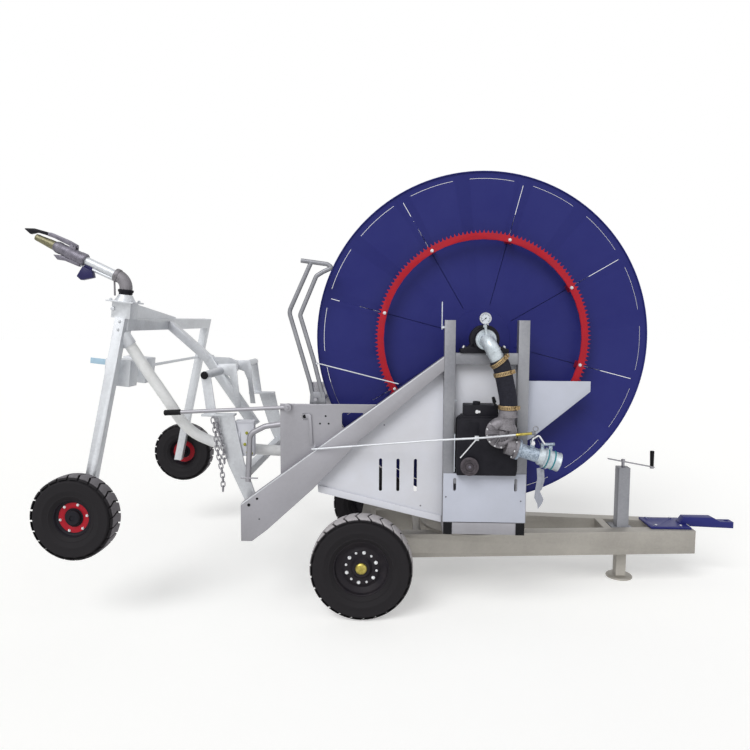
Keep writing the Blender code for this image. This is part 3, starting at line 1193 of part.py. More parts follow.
def make_free_pipe():
    inner, outer = free_pipe_routes()
    cord_piece("pipe_under_reel", "carriage_axis", pipe_plastic(), inner, PIPE_R, 2)
    cord_piece("pipe_to_cart", "turntable_axis", pipe_plastic(), outer, PIPE_R, 2)
    print(f"free pipe: {route_length(inner):.3f} m under the reel, {route_length(outer):.3f} m to the cart")


def build():
    clear_scene()
    add_frames()
    make_chassis()
    make_hitch()
    make_jack()
    make_wheels()
    make_base()
    make_post_frames()
    make_beams()
    make_side_plates()
    make_panels()
    make_bearings()
    make_flanges()
    make_drum()
    make_winding()
    make_gears()
    make_gearbox()
    make_turbine()
    make_inlet()
    make_coupling_lever()
    make_feed()
    make_control_rod()
    make_guide()
    make_levers()
    make_lift_frame()
    make_cart_frame()
    make_drawbar()
    make_gun()
    make_free_pipe()


build()
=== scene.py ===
# Looks of the hose reel irrigator: finishes, pipe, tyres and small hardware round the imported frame.
# Metres, in the frame's own axes: +X to the hitch, -Y to the turbine side, +Z up.
import json
from math import cos, pi, radians, sin, tan, tau
import bpy
import bmesh
from mathutils import Euler, Matrix, Vector


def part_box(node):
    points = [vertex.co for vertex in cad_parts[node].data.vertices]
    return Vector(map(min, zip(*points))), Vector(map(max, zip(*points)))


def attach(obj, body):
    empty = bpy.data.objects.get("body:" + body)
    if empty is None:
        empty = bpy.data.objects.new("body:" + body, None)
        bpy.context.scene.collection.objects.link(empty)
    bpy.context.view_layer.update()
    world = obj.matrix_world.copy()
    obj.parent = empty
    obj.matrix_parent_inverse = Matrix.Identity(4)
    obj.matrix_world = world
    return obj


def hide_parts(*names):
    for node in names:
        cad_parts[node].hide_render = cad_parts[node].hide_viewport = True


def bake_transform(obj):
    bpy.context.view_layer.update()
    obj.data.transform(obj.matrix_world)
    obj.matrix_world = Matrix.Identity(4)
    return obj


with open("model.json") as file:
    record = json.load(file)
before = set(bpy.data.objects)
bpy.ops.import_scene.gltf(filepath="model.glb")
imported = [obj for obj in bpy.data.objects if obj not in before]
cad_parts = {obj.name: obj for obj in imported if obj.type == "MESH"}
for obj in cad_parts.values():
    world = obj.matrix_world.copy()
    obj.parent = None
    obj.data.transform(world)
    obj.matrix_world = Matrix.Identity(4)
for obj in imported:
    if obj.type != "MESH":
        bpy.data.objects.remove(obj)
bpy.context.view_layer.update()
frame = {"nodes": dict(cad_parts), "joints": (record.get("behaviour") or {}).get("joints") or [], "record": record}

axleX = -0.28                      # the road axle; spot() measures x from it
slots = {part["node"]: part["material_slot"] for part in frame["record"]["subparts"]}
bodies = {node: body for body, nodes in frame["record"]["behaviour"]["bodies"].items() for node in nodes}
sides = (("near", -1), ("far", 1))
print("frame loaded:", len(frame["nodes"]), "nodes")


def spot(x, y, z):
    return Vector((x + axleX, y, z))


def sideView(points):
    # outline seen from the side, its x measured from the road axle
    return [(x + axleX, z) for x, z in points]


def pivot(jointName):
    return Vector(next(joint["pos_m"] for joint in frame["joints"] if joint["name"] == jointName))


# Finishes

def linear(hexColour):
    # sRGB hex to the linear values that the shaders take
    parts = [int(hexColour[i:i + 2], 16) / 255 for i in (1, 3, 5)]
    return tuple(p / 12.92 if p <= 0.04045 else ((p + 0.055) / 1.055) ** 2.4 for p in parts) + (1.0,)


def addNode(tree, kind, settings=None, links=None):
    # lower-case keys are the node's properties, the others its inputs; "stops" fills a colour ramp
    node = tree.nodes.new("ShaderNode" + kind)
    for key, value in (settings or {}).items():
        if key == "stops":
            ramp = node.color_ramp.elements
            while len(ramp) < len(value):
                ramp.new(0.5)
            for element, (place, colour) in zip(ramp, value):
                element.position = place
                element.color = colour
        elif isinstance(key, str) and key[0].islower():
            setattr(node, key, value)
        else:
            node.inputs[key].default_value = value
    for key, (source, output) in (links or {}).items():
        tree.links.new(source.outputs[output], node.inputs[key])
    return node


def startMaterial(name):
    material = bpy.data.materials.new(name)
    material.use_nodes = True
    tree = material.node_tree
    return material, tree, tree.nodes["Principled BSDF"], addNode(tree, "TexCoord")


def grey(value):
    return (value, value, value, 1.0)


def addNoise(tree, coords, scale, detail, roughness=0.5):
    return addNode(tree, "TexNoise", {"Scale": scale, "Detail": detail, "Roughness": roughness},
        {"Vector": (coords, "Object")})


def tintBy(tree, shader, pattern, low, high):
    # base colour between two, each at its place along the pattern
    tint = addNode(tree, "ValToRGB", {"stops": [(place, linear(colour)) for place, colour in (low, high)]},
        {"Fac": pattern})
    tree.links.new(tint.outputs["Color"], shader.inputs["Base Color"])


def roughenBy(tree, shader, pattern, rough, top):
    reach = addNode(tree, "MapRange", {"From Min": 0.3, "From Max": top, "To Min": rough[0],
        "To Max": rough[1]}, {"Value": pattern})
    tree.links.new(reach.outputs["Result"], shader.inputs["Roughness"])


def bumpBy(tree, shader, pattern, strength, distance, under=None):
    links = {"Height": pattern, "Normal": (under, "Normal")} if under else {"Height": pattern}
    bump = addNode(tree, "Bump", {"Strength": strength, "Distance": distance}, links)
    tree.links.new(bump.outputs["Normal"], shader.inputs["Normal"])
    return bump


def makeMetal(values):
    # zinc and cast metals: crystals or grains a few mm wide, cloudy patches, rough all over
    material, tree, shader, coords = startMaterial(values["name"])
    grain = addNode(tree, "TexVoronoi", {"Scale": 1.0 / values["grainSize"]},
        {"Vector": (coords, "Object")})
    clouds = addNoise(tree, coords, 1.0 / values["patchSize"], 5.0)
    grainTint = addNode(tree, "SeparateColor", {}, {"Color": (grain, "Color")})
    mixed = addNode(tree, "Math", {"operation": "MULTIPLY_ADD", 1: values["grainShare"]},
        {0: (grainTint, "Red"), 2: (clouds, "Fac")})
    tintBy(tree, shader, (mixed, "Value"), (0.35, values["dark"]), (0.75, values["light"]))
    roughenBy(tree, shader, (mixed, "Value"), values["rough"], 0.8)
    bumpBy(tree, shader, (mixed, "Value"), values["bump"], 0.001)
    shader.inputs["Metallic"].default_value = values["metallic"]
    return material


def makePaint(values):
    # sprayed paint on sheet or casting: orange peel, faint waves in the sheet, dust that settles in patches
    material, tree, shader, coords = startMaterial(values["name"])
    waves = addNoise(tree, coords, 1.0 / values["waveSize"], 1.0)
    peel = addNoise(tree, coords, 1.0 / values["peelSize"], 2.0)
    dust = addNoise(tree, coords, 1.0 / values["dustSize"], 6.0, 0.65)
    tintBy(tree, shader, (dust, "Fac"), (0.30, values["colour"]), (0.80, values["dusty"]))
    roughenBy(tree, shader, (dust, "Fac"), values["rough"], 0.75)
    sheet = bumpBy(tree, shader, (waves, "Fac"), values["waveBump"], 0.02)
    bumpBy(tree, shader, (peel, "Fac"), values["peelBump"], 0.0005, sheet)
    shader.inputs["Specular IOR Level"].default_value = values["gloss"]
    return material


def makePlastic(values):
    # moulded or extruded plastic and rubber: even colour, soft scuffs, a low sheen
    material, tree, shader, coords = startMaterial(values["name"])
    scuffs = addNoise(tree, coords, 1.0 / values["scuffSize"], 7.0, 0.7)
    tintBy(tree, shader, (scuffs, "Fac"), (0.35, values["colour"]), (0.80, values["worn"]))
    roughenBy(tree, shader, (scuffs, "Fac"), values["rough"], 0.8)
    bumpBy(tree, shader, (scuffs, "Fac"), values["bump"], 0.0006)
    shader.inputs["IOR"].default_value = 1.5
    shader.inputs["Specular IOR Level"].default_value = values["gloss"]
    return material


def makeTyreRubber(name, centre, radius, paleLugColour):
    # cured tyre rubber: matt, nearly black, paler in noisy patches on the outer faces of the lugs
    material, tree, shader, coords = startMaterial(name)
    centred = addNode(tree, "Mapping", {"Location": (-centre.x, 0.0, -centre.z), "Scale": (1.0, 0.0, 1.0)},
        {"Vector": (coords, "Object")})
    reach = addNode(tree, "VectorMath", {"operation": "LENGTH"}, {0: (centred, "Vector")})
    top = addNode(tree, "MapRange", {"From Min": radius * 0.972, "From Max": radius * 0.998},
        {"Value": (reach, "Value")})
    paleLugTop = addNoise(tree, coords, 70.0, 6.0)
    amount = addNode(tree, "Math", {"operation": "MULTIPLY"}, {0: (top, "Result"), 1: (paleLugTop, "Fac")})
    tintBy(tree, shader, (amount, "Value"), (0.02, "#1E1C1F"), (0.30, paleLugColour))
    skin = addNoise(tree, coords, 260.0, 3.0)
    bumpBy(tree, shader, (skin, "Fac"), 0.35, 0.001)
    shader.inputs["Roughness"].default_value = 0.72
    shader.inputs["IOR"].default_value = 1.52
    shader.inputs["Specular IOR Level"].default_value = 0.2
    return material


metalValues = ("name", "dark", "light", "grainSize", "grainShare", "patchSize", "rough", "bump", "metallic")
metals = {
    # hot-dip zinc: dull pale grey, with crystals about 14 mm wide and cloudy patches
    "galvanised": (
        "hot-dip galvanised steel", "#96959A", "#A2A1A7", 0.014, 0.10, 0.40, (0.42, 0.58), 0.05, 0.75),
    # the same zinc, darker: painted shade on the posts and the long lever, which stood in shade
    "shadedGalvanised": (
        "darkened galvanised steel", "#808187", "#95969B", 0.012, 0.12, 0.30, (0.42, 0.58), 0.05, 0.65),
    # the same zinc, paler: painted light on the cart and the lift frame, which were lit more brightly
    "galvanisedPaintedLight": (
        "fresh hot-dip galvanised steel", "#BEC0C5", "#D6D9DD", 0.012, 0.14, 0.30, (0.40, 0.55), 0.05, 0.6),
    # the same zinc gone warm and dull on the drawbar and the axle
    "dullGalvanised": (
        "weathered galvanised steel", "#9F9B95", "#B5B1AA", 0.014, 0.10, 0.35, (0.48, 0.64), 0.05, 0.65),
    # electroplated zinc on bolts and rods: brighter, finer, smoother
    "brightZinc": (
        "bright zinc plating", "#C9CACD", "#E6E7E9", 0.003, 0.10, 0.02, (0.22, 0.34), 0.03, 0.95),
    # yellow passivated zinc on the hub cap and the control rod's sleeve
    "yellowZinc": (
        "yellow passivated zinc", "#8A7C38", "#BDAF60", 0.004, 0.15, 0.02, (0.25, 0.40), 0.04, 0.9),
    # brown passivated zinc on the rolled bands of the clamps
    "bandZinc": (
        "brown passivated zinc", "#75634B", "#B29A72", 0.004, 0.30, 0.01, (0.34, 0.50), 0.10, 0.8),
    # zinc on the inlet's casting, patchy at random, its dark blue-grey painted shade
    "blueZinc": (
        "blue-passivated zinc casting", "#5F6B7C", "#A7B3C0", 0.006, 0.35, 0.02, (0.34, 0.50), 0.15, 0.75),
    # pipework under thin grey-green wash primer over zinc
    "washedZinc": (
        "washed galvanised pipe", "#A7AFB5", "#C9D2D8", 0.006, 0.18, 0.05, (0.34, 0.50), 0.08, 0.55),
    # sand-cast aluminium: warm grey, a grain of about 2 mm, drawn at 3 mm so that it shows
    "castAluminium": (
        "sand-cast aluminium", "#5F5C5F", "#88858A", 0.003, 0.30, 0.05, (0.45, 0.62), 0.25, 0.6),
    # cast iron of the pulley, brass of the nozzle, grey-violet alloy of the gun's housing
    "sootCasting": (
        "bare cast iron, sooty", "#343035", "#514B50", 0.003, 0.25, 0.02, (0.45, 0.60), 0.15, 0.5),
    "oliveBrass": (
        "tarnished brass", "#57543F", "#837F66", 0.004, 0.25, 0.02, (0.36, 0.50), 0.10, 0.7),
    "greyAlloy": (
        "grey cast alloy", "#5B5862", "#7E7B86", 0.003, 0.25, 0.03, (0.40, 0.55), 0.15, 0.6)}
paintValues = ("name", "colour", "dusty", "rough", "waveSize", "waveBump", "peelSize", "peelBump",
    "dustSize", "gloss")
paints = {
    # white polyester powder coat on steel sheet, and a darker copy of it with painted shade on the right and lower
    # sheets
    "whitePowder": (
        "white powder coat", "#D9DBE4", "#CFCFD4", (0.32, 0.44), 0.30, 0.05, 0.004, 0.05, 0.25, 0.35),
    "whitePowderPaintedShade": (
        "white powder coat, second batch", "#C6CAD8", "#BCC0CC", (0.32,
            0.44), 0.30, 0.05, 0.004, 0.05, 0.25, 0.35),
    # deep blue enamel on the reel's flanges, slightly wavy sheet
    "blueEnamel": (
        "deep blue enamel", "#24276C", "#2C3072", (0.36, 0.50), 0.22, 0.10, 0.004, 0.06, 0.30, 0.18),
    # red enamel on the gear ring and the cart's rims
    "redEnamel": (
        "red enamel", "#B41828", "#9C1F2E", (0.34, 0.52), 0.10, 0.02, 0.003, 0.08, 0.05, 0.2),
    # black enamel over rough castings, and on pressed wheel discs with a little road dust
    "blackCasting": (
        "black enamel on a casting", "#1A1A20", "#28272D", (0.42,
            0.62), 0.05, 0.04, 0.003, 0.35, 0.06, 0.12),
    "blackDisc": (
        "black enamel on a pressed disc", "#1E1C22", "#312D30", (0.40,
            0.60), 0.08, 0.03, 0.003, 0.10, 0.08, 0.12),
    "lightBlueEnamel": (
        "light blue enamel", "#B5D3E6", "#A9C6D9", (0.36, 0.48), 0.10, 0.03, 0.003, 0.05, 0.05, 0.3),
    "navyEnamel": (
        "navy enamel on the brake weight", "#221F4F", "#2C2A58", (0.36,
            0.50), 0.04, 0.02, 0.003, 0.10, 0.03, 0.25)}
plasticValues = ("name", "colour", "worn", "scuffSize", "rough", "bump", "gloss")
plastics = {
    # extruded polyethylene pipe: milky white, a soft sheen
    "polyethylene": ("white polyethylene", "#F3F4F5", "#E4E5E4", 0.05, (0.36, 0.52), 0.05, 0.4),
    # black rubber hose with a cloth-marked skin
    "hoseRubber": ("black hose rubber", "#212129", "#30303A", 0.012, (0.55, 0.70), 0.25, 0.12),
    # black moulded polyethylene caps and grips
    "blackCap": ("black moulded plastic", "#121215", "#1E1E21", 0.02, (0.40, 0.60), 0.10, 0.12),
    "dialEnamel": ("white dial enamel", "#DDE2EA", "#D0D6E0", 0.01, (0.30, 0.40), 0.02, 0.3),
    "yellowGreenKnob": ("yellow-green moulded knob", "#A8A53A", "#8B8F38", 0.004, (0.40, 0.50), 0.05, 0.3),
    "tealRubber": ("teal seal rubber", "#1E7F8C", "#2A8F98", 0.006, (0.45, 0.60), 0.10, 0.3),
    # dull packing film, creased
    "greyFilm": ("creased grey film", "#A4A7B2", "#8C8F9A", 0.015, (0.35, 0.55), 0.60, 0.3)}
looks = {}
for make, names, rows in ((makeMetal, metalValues, metals), (makePaint, paintValues, paints),
        (makePlastic, plasticValues, plastics)):
    for look, row in rows.items():
        looks[look] = make(dict(zip(names, row)))
# the look of a CAD slot where a piece names no other
slotLooks = {"galvanised": "galvanised", "white_sheet": "whitePowder", "blue_paint": "blueEnamel",
    "red_paint": "redEnamel", "black_casting": "blackCasting", "black_rim": "blackDisc",
    "hose_rubber": "hoseRubber", "polyethylene": "polyethylene", "cast_aluminium": "castAluminium"}
print("finishes made")


# Shapes; each add function puts one shape into a piece's mesh

def toMesh(bm, name):
    mesh = bpy.data.meshes.new(name)
    bm.to_mesh(mesh)
    bm.free()
    return mesh


def addObject(name, data):
    thing = bpy.data.objects.new(name, data)
    bpy.context.scene.collection.objects.link(thing)
    return thing


def evaluatedMesh(thing):
    return bpy.data.meshes.new_from_object(thing.evaluated_get(bpy.context.evaluated_depsgraph_get()))


def joinInto(bm, part):
    mesh = toMesh(part, "part")
    bm.from_mesh(mesh)
    bpy.data.meshes.remove(mesh)


def joinMoved(bm, part, matrix):
    bmesh.ops.transform(part, matrix=matrix, verts=part.verts)
    joinInto(bm, part)


def softenEdges(part, width, angle=30.0):
    edges = [edge for edge in part.edges if len(edge.link_faces) == 2
        and edge.calc_face_angle(0.0) > radians(angle)]
    bmesh.ops.bevel(part, geom=edges, offset=width, offset_type="OFFSET", segments=2, profile=0.5,
        affect="EDGES", material=-1, clamp_overlap=True)


def aimAt(part, place, axis):
    turn = Vector((0, 0, 1)).rotation_difference(Vector(axis)).to_matrix().to_4x4()
    bmesh.ops.transform(part, matrix=Matrix.Translation(place) @ turn, verts=part.verts)


def addBox(bm, low, high, edge=0.001):
    part = bmesh.new()
    bmesh.ops.create_cube(part, size=1.0)
    low, high = Vector(low), Vector(high)
    bmesh.ops.scale(part, vec=high - low, verts=part.verts)
    bmesh.ops.translate(part, vec=(low + high) / 2, verts=part.verts)
    if edge:
        softenEdges(part, edge)
    joinInto(bm, part)


def addRod(bm, start, end, radius, endRadius=None, sides=24, edge=0.0):
    start, end = Vector(start), Vector(end)
    part = bmesh.new()
    bmesh.ops.create_cone(part, cap_ends=True, segments=sides, radius1=radius,
        radius2=radius if endRadius is None else endRadius, depth=(end - start).length)
    if edge:
        softenEdges(part, edge, 50.0)
    aimAt(part, (start + end) / 2, end - start)
    joinInto(bm, part)


def addPin(bm, x, z, start, end, *size, **options):
    # a rod straight across the machine, its x measured from the road axle
    addRod(bm, spot(x, start, z), spot(x, end, z), *size, **options)


def addLathe(bm, profile, place, axis, steps=64, ring=False):
    part = bmesh.new()
    line = [part.verts.new((radius, 0, height)) for radius, height in profile]
    edges = [part.edges.new(pair) for pair in zip(line, line[1:])]
    if ring:
        edges.append(part.edges.new((line[-1], line[0])))
    bmesh.ops.spin(part, geom=line + edges, cent=(0, 0, 0), axis=(0, 0, 1), angle=tau, steps=steps,
        use_merge=True)
    bmesh.ops.remove_doubles(part, verts=part.verts, dist=1e-6)
    bmesh.ops.recalc_face_normals(part, faces=part.faces)
    aimAt(part, place, axis)
    joinInto(bm, part)


def addPlate(bm, points, low, high, edge=0.0005):
    # an outline in the side view, as thick across the machine as from low to high
    part = bmesh.new()
    base = part.faces.new([part.verts.new((x, low, z)) for x, z in points])
    grown = bmesh.ops.extrude_face_region(part, geom=[base], use_keep_orig=True)
    moved = [item for item in grown["geom"] if isinstance(item, bmesh.types.BMVert)]
    bmesh.ops.translate(part, verts=moved, vec=(0.0, high - low, 0.0))
    bmesh.ops.recalc_face_normals(part, faces=part.faces)
    if edge:
        softenEdges(part, edge)
    joinInto(bm, part)


def addPlateAt(bm, points, low, high, edge=0.0005):
    # the same, from places in space
    addPlate(bm, [(p.x, p.z) for p in points], low, high, edge)


def spoke(centre, angle, inner, outer, width):
    # corners of a bar that points away from a centre, its angle clockwise from straight up
    out, side = Vector((sin(angle), 0, cos(angle))), Vector((cos(angle), 0, -sin(angle))) * (width / 2)
    return [centre + out * r + side * s for r, s in ((inner, -1), (outer, -1), (outer, 1), (inner, 1))]


def addTube(bm, points, radius, sides=16, swell=()):
    curve = bpy.data.curves.new("tube", "CURVE")
    curve.dimensions = "3D"
    curve.bevel_depth = radius
    curve.bevel_resolution = max(0, (sides - 4) // 2)
    curve.use_fill_caps = True
    line = curve.splines.new("POLY")
    line.points.add(len(points) - 1)
    for place, point in zip(line.points, points):
        place.co = (*point, 1.0)
    for place, share in zip(line.points, swell):
        place.radius = share
    guide = addObject("tube", curve)
    mesh = evaluatedMesh(guide)
    part = bmesh.new()
    part.from_mesh(mesh)
    bpy.data.objects.remove(guide)
    bpy.data.curves.remove(curve)
    bpy.data.meshes.remove(mesh)
    bmesh.ops.remove_doubles(part, verts=part.verts, dist=1e-6)
    bmesh.ops.recalc_face_normals(part, faces=part.faces)
    joinInto(bm, part)


def addBolt(bm, place, axis, size=0.008, stickOut=0.0):
    # hexagon head on a washer, with the thread's end standing out if asked; size is the thread's diameter
    place, axis = Vector(place), Vector(axis).normalized()
    addRod(bm, place, place + axis * size * 0.2, size * 1.1, sides=16)
    part = bmesh.new()
    bmesh.ops.create_cone(part, cap_ends=True, segments=6, radius1=size * 0.92, radius2=size * 0.92,
        depth=size * 0.7)
    softenEdges(part, size * 0.07, 50.0)
    aimAt(part, place + axis * size * 0.55, axis)
    joinInto(bm, part)
    if stickOut:
        addRod(bm, place, place + axis * (size * 0.9 + stickOut), size * 0.5, sides=10)


clampSlots = {"first": 4, "last": 33, "round": 36}      # slots are left out at the ears


def addClamp(bm, centre, along, side, radius, width=0.022):
    # a rolled band, two rolled ears and the bolt that draws them together
    along = Vector(along).normalized()
    side = (Vector(side) - along * along.dot(side)).normalized()
    across = along.cross(side)
    half = width / 2
    addLathe(bm, [(radius - 0.003, -half), (radius, -half), (radius + 0.0012, -half * 0.8),
        (radius + 0.0006, 0.0), (radius + 0.0012, half * 0.8), (radius, half), (radius - 0.003, half)],
        centre, along, 56, ring=True)
    seat = centre + side * (radius + 0.0055)
    for shift in (-0.013, 0.013):
        addRod(bm, seat + across * shift - along * half * 0.9, seat + across * shift + along * half * 0.9,
            0.0055, sides=16)
    addRod(bm, seat - across * 0.024, seat + across * 0.030, 0.0032, sides=10)
    addBolt(bm, seat + across * 0.019, across, 0.006)
    # slots of the band, as thin dark inlays round it
    inlays = bmesh.new()
    for step in range(clampSlots["first"], clampSlots["last"]):
        angle = tau * step / clampSlots["round"]
        out = side * cos(angle) + across * sin(angle)
        around = along.cross(out)
        part = bmesh.new()
        addBox(part, (-0.0014, -half * 0.55, 0.0), (0.0014, half * 0.55, 0.0006), 0.0)
        place = Matrix((around, along, out)).transposed().to_4x4()
        joinMoved(inlays, part, Matrix.Translation(centre + out * (radius + 0.0004)) @ place)
    return inlays


def roundedSlot(x, z, halfWidth, halfHeight, radius, steps=6):
    # the outline of a slot or window with rounded corners
    points = []
    for number, (sx, sz) in enumerate(((1, 1), (-1, 1), (-1, -1), (1, -1))):
        for step in range(steps + 1):
            angle = pi / 2 * (number + step / steps)
            points.append((x + sx * (halfWidth - radius) + radius * cos(angle),
                z + sz * (halfHeight - radius) + radius * sin(angle)))
    return points


def carve(piece, cutters):
    # takes the cutters' shapes out of a piece and keeps the result as its mesh
    helper = addObject("cutters", toMesh(cutters, "cutters"))
    cut = piece.modifiers.new("cut", "BOOLEAN")
    cut.operation = "DIFFERENCE"
    cut.object = helper
    carved = evaluatedMesh(piece)
    piece.modifiers.clear()
    piece.data = carved
    bpy.data.objects.remove(helper)
    carved.shade_smooth()
    carved.set_sharp_from_angle(angle=radians(32.0))


def bendPath(points, radius, steps=8):
    # rounds the corners of a path with arcs, as a tube bender does
    points = [Vector(point) for point in points]
    path = [points[0]]
    for before, corner, after in zip(points, points[1:], points[2:]):
        back, ahead = (before - corner).normalized(), (after - corner).normalized()
        half = back.angle(ahead) / 2
        reach = min(radius / tan(half), 0.45 * min((before - corner).length, (after - corner).length))
        size = reach * tan(half)
        centre = corner + (back + ahead).normalized() * size / sin(half)
        first, last = corner + back * reach - centre, corner + ahead * reach - centre
        path += [centre + first.slerp(last, step / steps) * size for step in range(steps + 1)]
    return path + [points[-1]]


def smoothPath(points, step):
    # an even walk along a smooth curve through the points
    points = [Vector(point) for point in points]
    padded = [2 * points[0] - points[1]] + points + [2 * points[-1] - points[-2]]
    fine = []
    for p0, p1, p2, p3 in zip(padded, padded[1:], padded[2:], padded[3:]):
        for part in range(40):
            t = part / 40
            fine.append(0.5 * (2 * p1 + (p2 - p0) * t + (2 * p0 - 5 * p1 + 4 * p2 - p3) * t * t
                + (3 * p1 - p0 - 3 * p2 + p3) * t ** 3))
    fine.append(points[-1])
    total = sum((b - a).length for a, b in zip(fine, fine[1:]))
    count = max(2, round(total / step))
    route, walked = [fine[0]], 0.0
    for a, b in zip(fine, fine[1:]):
        walked += (b - a).length
        if walked >= total * len(route) / count and len(route) < count:
            route.append(b)
    return route + [fine[-1]]


def finishPiece(name, bm, body, look, replaced=(), sharp=32.0):
    mesh = toMesh(bm, name)
    mesh.shade_smooth()
    mesh.set_sharp_from_angle(angle=radians(sharp))
    mesh.materials.append(looks[look])
    piece = addObject(name, mesh)
    if body:
        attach(piece, body)
    if replaced:
        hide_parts(*replaced)
    return piece


def finishOn(node, name, bm, look, replacing=False, sharp=32.0):
    # a piece that moves with a CAD node, in that node's place or beside it
    return finishPiece(name, bm, bodies[node], look, [node] if replacing else (), sharp)


def refineNode(node, edge=0.0015, look=None, added=None):
    # a merged copy of a CAD solid with small rounds on its edges, and finer shapes added over it
    bm = bmesh.new()
    bm.from_mesh(frame["nodes"][node].data)
    bmesh.ops.remove_doubles(bm, verts=bm.verts, dist=2e-5)
    bmesh.ops.dissolve_limit(bm, angle_limit=radians(1.0), verts=bm.verts, edges=bm.edges)
    if edge:
        softenEdges(bm, edge)
    if added:
        joinInto(bm, added)
    return finishOn(node, node + "_shell", bm, look or slotLooks[slots[node]], True)


# Camera, lights and floor

view = {"place": spot(0.2112, -4.2346, 1.7040), "tilt": -0.0842, "turn": 0.0390, "roll": 0.0050,
    "lens": 30.62, "keyStrength": 1.70, "fillStrength": 0.40, "ambient": 0.36, "floorGlow": 0.34,
    "floorRadius": 60.0}


def makeView():
    camera = addObject("camera", bpy.data.cameras.new("camera"))
    camera.data.lens = view["lens"]
    camera.data.sensor_width = 36.0
    camera.matrix_world = (Matrix.Translation(view["place"])
        @ Euler((pi / 2 + view["tilt"], 0.0, view["turn"])).to_matrix().to_4x4()
        @ Matrix.Rotation(view["roll"], 4, "Z"))
    bpy.context.scene.camera = camera


def addDirectRays(tree):
    # 1 for camera, glossy and transmission rays, which see the backdrop white
    ray = addNode(tree, "LightPath")
    seen = addNode(tree, "Math", {"operation": "MAXIMUM"},
        {0: (ray, "Is Camera Ray"), 1: (ray, "Is Glossy Ray")})
    return addNode(tree, "Math", {"operation": "MAXIMUM"},
        {0: (seen, "Value"), 1: (ray, "Is Transmission Ray")})


def makeLights():
    # a broad key from the upper left of the view and a weaker fill from the right
    for name, strength, width, aim in (("key", view["keyStrength"], 35.0, (48.0, 0.0, -28.0)),
            ("fill", view["fillStrength"], 70.0, (62.0, 0.0, 45.0))):
        lamp = bpy.data.lights.new(name, "SUN")
        lamp.energy = strength
        lamp.angle = radians(width)
        addObject(name, lamp).rotation_euler = [radians(value) for value in aim]
    world = bpy.data.worlds.new("studio")
    world.use_nodes = True
    bpy.context.scene.world = world
    tree = world.node_tree
    tree.nodes.clear()
    white = addDirectRays(tree)
    lit = addNode(tree, "Background", {"Color": grey(1.0), "Strength": view["ambient"]})
    shown = addNode(tree, "Background", {"Color": grey(1.0), "Strength": 1.0})
    mixed = addNode(tree, "MixShader", {}, {0: (white, "Value"), 1: (lit, "Background"),
        2: (shown, "Background")})
    addNode(tree, "OutputWorld", {}, {"Surface": (mixed, "Shader")})


def makeFloor():
    bm = bmesh.new()
    bmesh.ops.create_circle(bm, cap_ends=True, segments=64, radius=view["floorRadius"])
    floor = addObject("floor", toMesh(bm, "floor"))
    material, tree, shader, _ = startMaterial("pale studio floor")
    clear = addDirectRays(tree)
    glow = addNode(tree, "Math", {"operation": "MULTIPLY", 1: view["floorGlow"]}, {0: (clear, "Value")})
    light = addNode(tree, "Emission", {"Color": grey(1.0)}, {"Strength": (glow, "Value")})
    both = addNode(tree, "AddShader", {}, {0: (shader, "BSDF"), 1: (light, "Emission")})
    tree.links.new(both.outputs["Shader"], tree.nodes["Material Output"].inputs["Surface"])
    shader.inputs["Base Color"].default_value = linear("#E9E9E7")
    shader.inputs["Roughness"].default_value = 0.9
    floor.data.materials.append(material)


bpy.context.scene.view_settings.view_transform = "Standard"
makeView()
makeLights()
makeFloor()
print("camera, lights and floor made")


# The free pipe: one length of 63 mm pipe from the reel's underside, through the guide, to the cart

pipe = {"radius": 0.0315, "step": 0.02, "splitCount": 26, "splitAt": 17, "sides": 24,
    "route": ((0.6107, -0.489, 0.9155), (0.300, -0.489, 0.9160), (-0.100, -0.489, 0.9190),
    (-0.500, -0.489, 0.9280), (-0.700, -0.489, 0.9420), (-0.862, -0.490, 0.9660), (-0.935, -0.502, 0.9930),
    (-1.003, -0.535, 1.0380), (-1.065, -0.575, 1.1150), (-1.118, -0.612, 1.2200), (-1.170, -0.645, 1.3200),
    (-1.230, -0.680, 1.4300), (-1.279, -0.707, 1.5250), (-1.299, -0.720, 1.5640))}


def pathLength(points):
    return sum((b - a).length for a, b in zip(points, points[1:]))


def makeFreePipe():
    whole = smoothPath([spot(*point) for point in pipe["route"]], pipe["step"])
    splitLength = pathLength(whole) * (pipe["splitAt"] + 0.5) / pipe["splitCount"]
    walked, cut = 0.0, 0
    while walked < splitLength:
        walked += (whole[cut + 1] - whole[cut]).length
        cut += 1
    seam = whole[cut]
    inner, outer = whole[:cut + 1], whole[cut:]
    guideX = (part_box("guide_carriage")[0][0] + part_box("guide_carriage")[1][0]) / 2
    inGuide = Vector((guideX - 0.06, seam.y, seam.z))
    stretches = (("free_pipe_to_guide", inner, "pipe_under_reel", ("guide_carriage", "reel_frame"), inGuide,
        seam), ("free_pipe_to_cart", outer, "pipe_to_cart", ("reel_frame", "lift_frame"), seam, outer[-1]))
    for name, points, replaced, pair, start, end in stretches:
        bm = bmesh.new()
        addTube(bm, points, pipe["radius"], pipe["sides"])
        piece = finishPiece(name, bm, None, "polyethylene", [replaced])
        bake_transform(piece)
        print(name, round(pathLength(points), 3), "m")


makeFreePipe()


# Reel

reel = {"centre": pivot("reel_spin"), "flangeR": 0.946, "flangeInY": 0.522, "sheet": 0.004, "lip": 0.008,
    "firstSeam": 14.6, "seamWidth": 0.003, "seamIn": 0.200, "seamOut": 0.893, "rimSlotR": 0.905,
    "rimSlotWidth": 0.0025, "rimSlotStarts": (3.5, 25.5), "rimSlotSpan": 16.0, "hubPlateR": 0.169,
    "pipeTurnR": 0.6915, "lanes": 16, "firstLane": 0.489, "stepAt": 45, "stepSpan": 30, "pointsPerTurn": 72,
    "shaftR": 0.045, "boltR": 0.570, "ringFace": 0.606}


def placeRound(centre, angle, radius, y=0.0):
    # clockwise from straight up, seen from the turbine side
    return centre + Vector((radius * sin(angle), y, radius * cos(angle)))


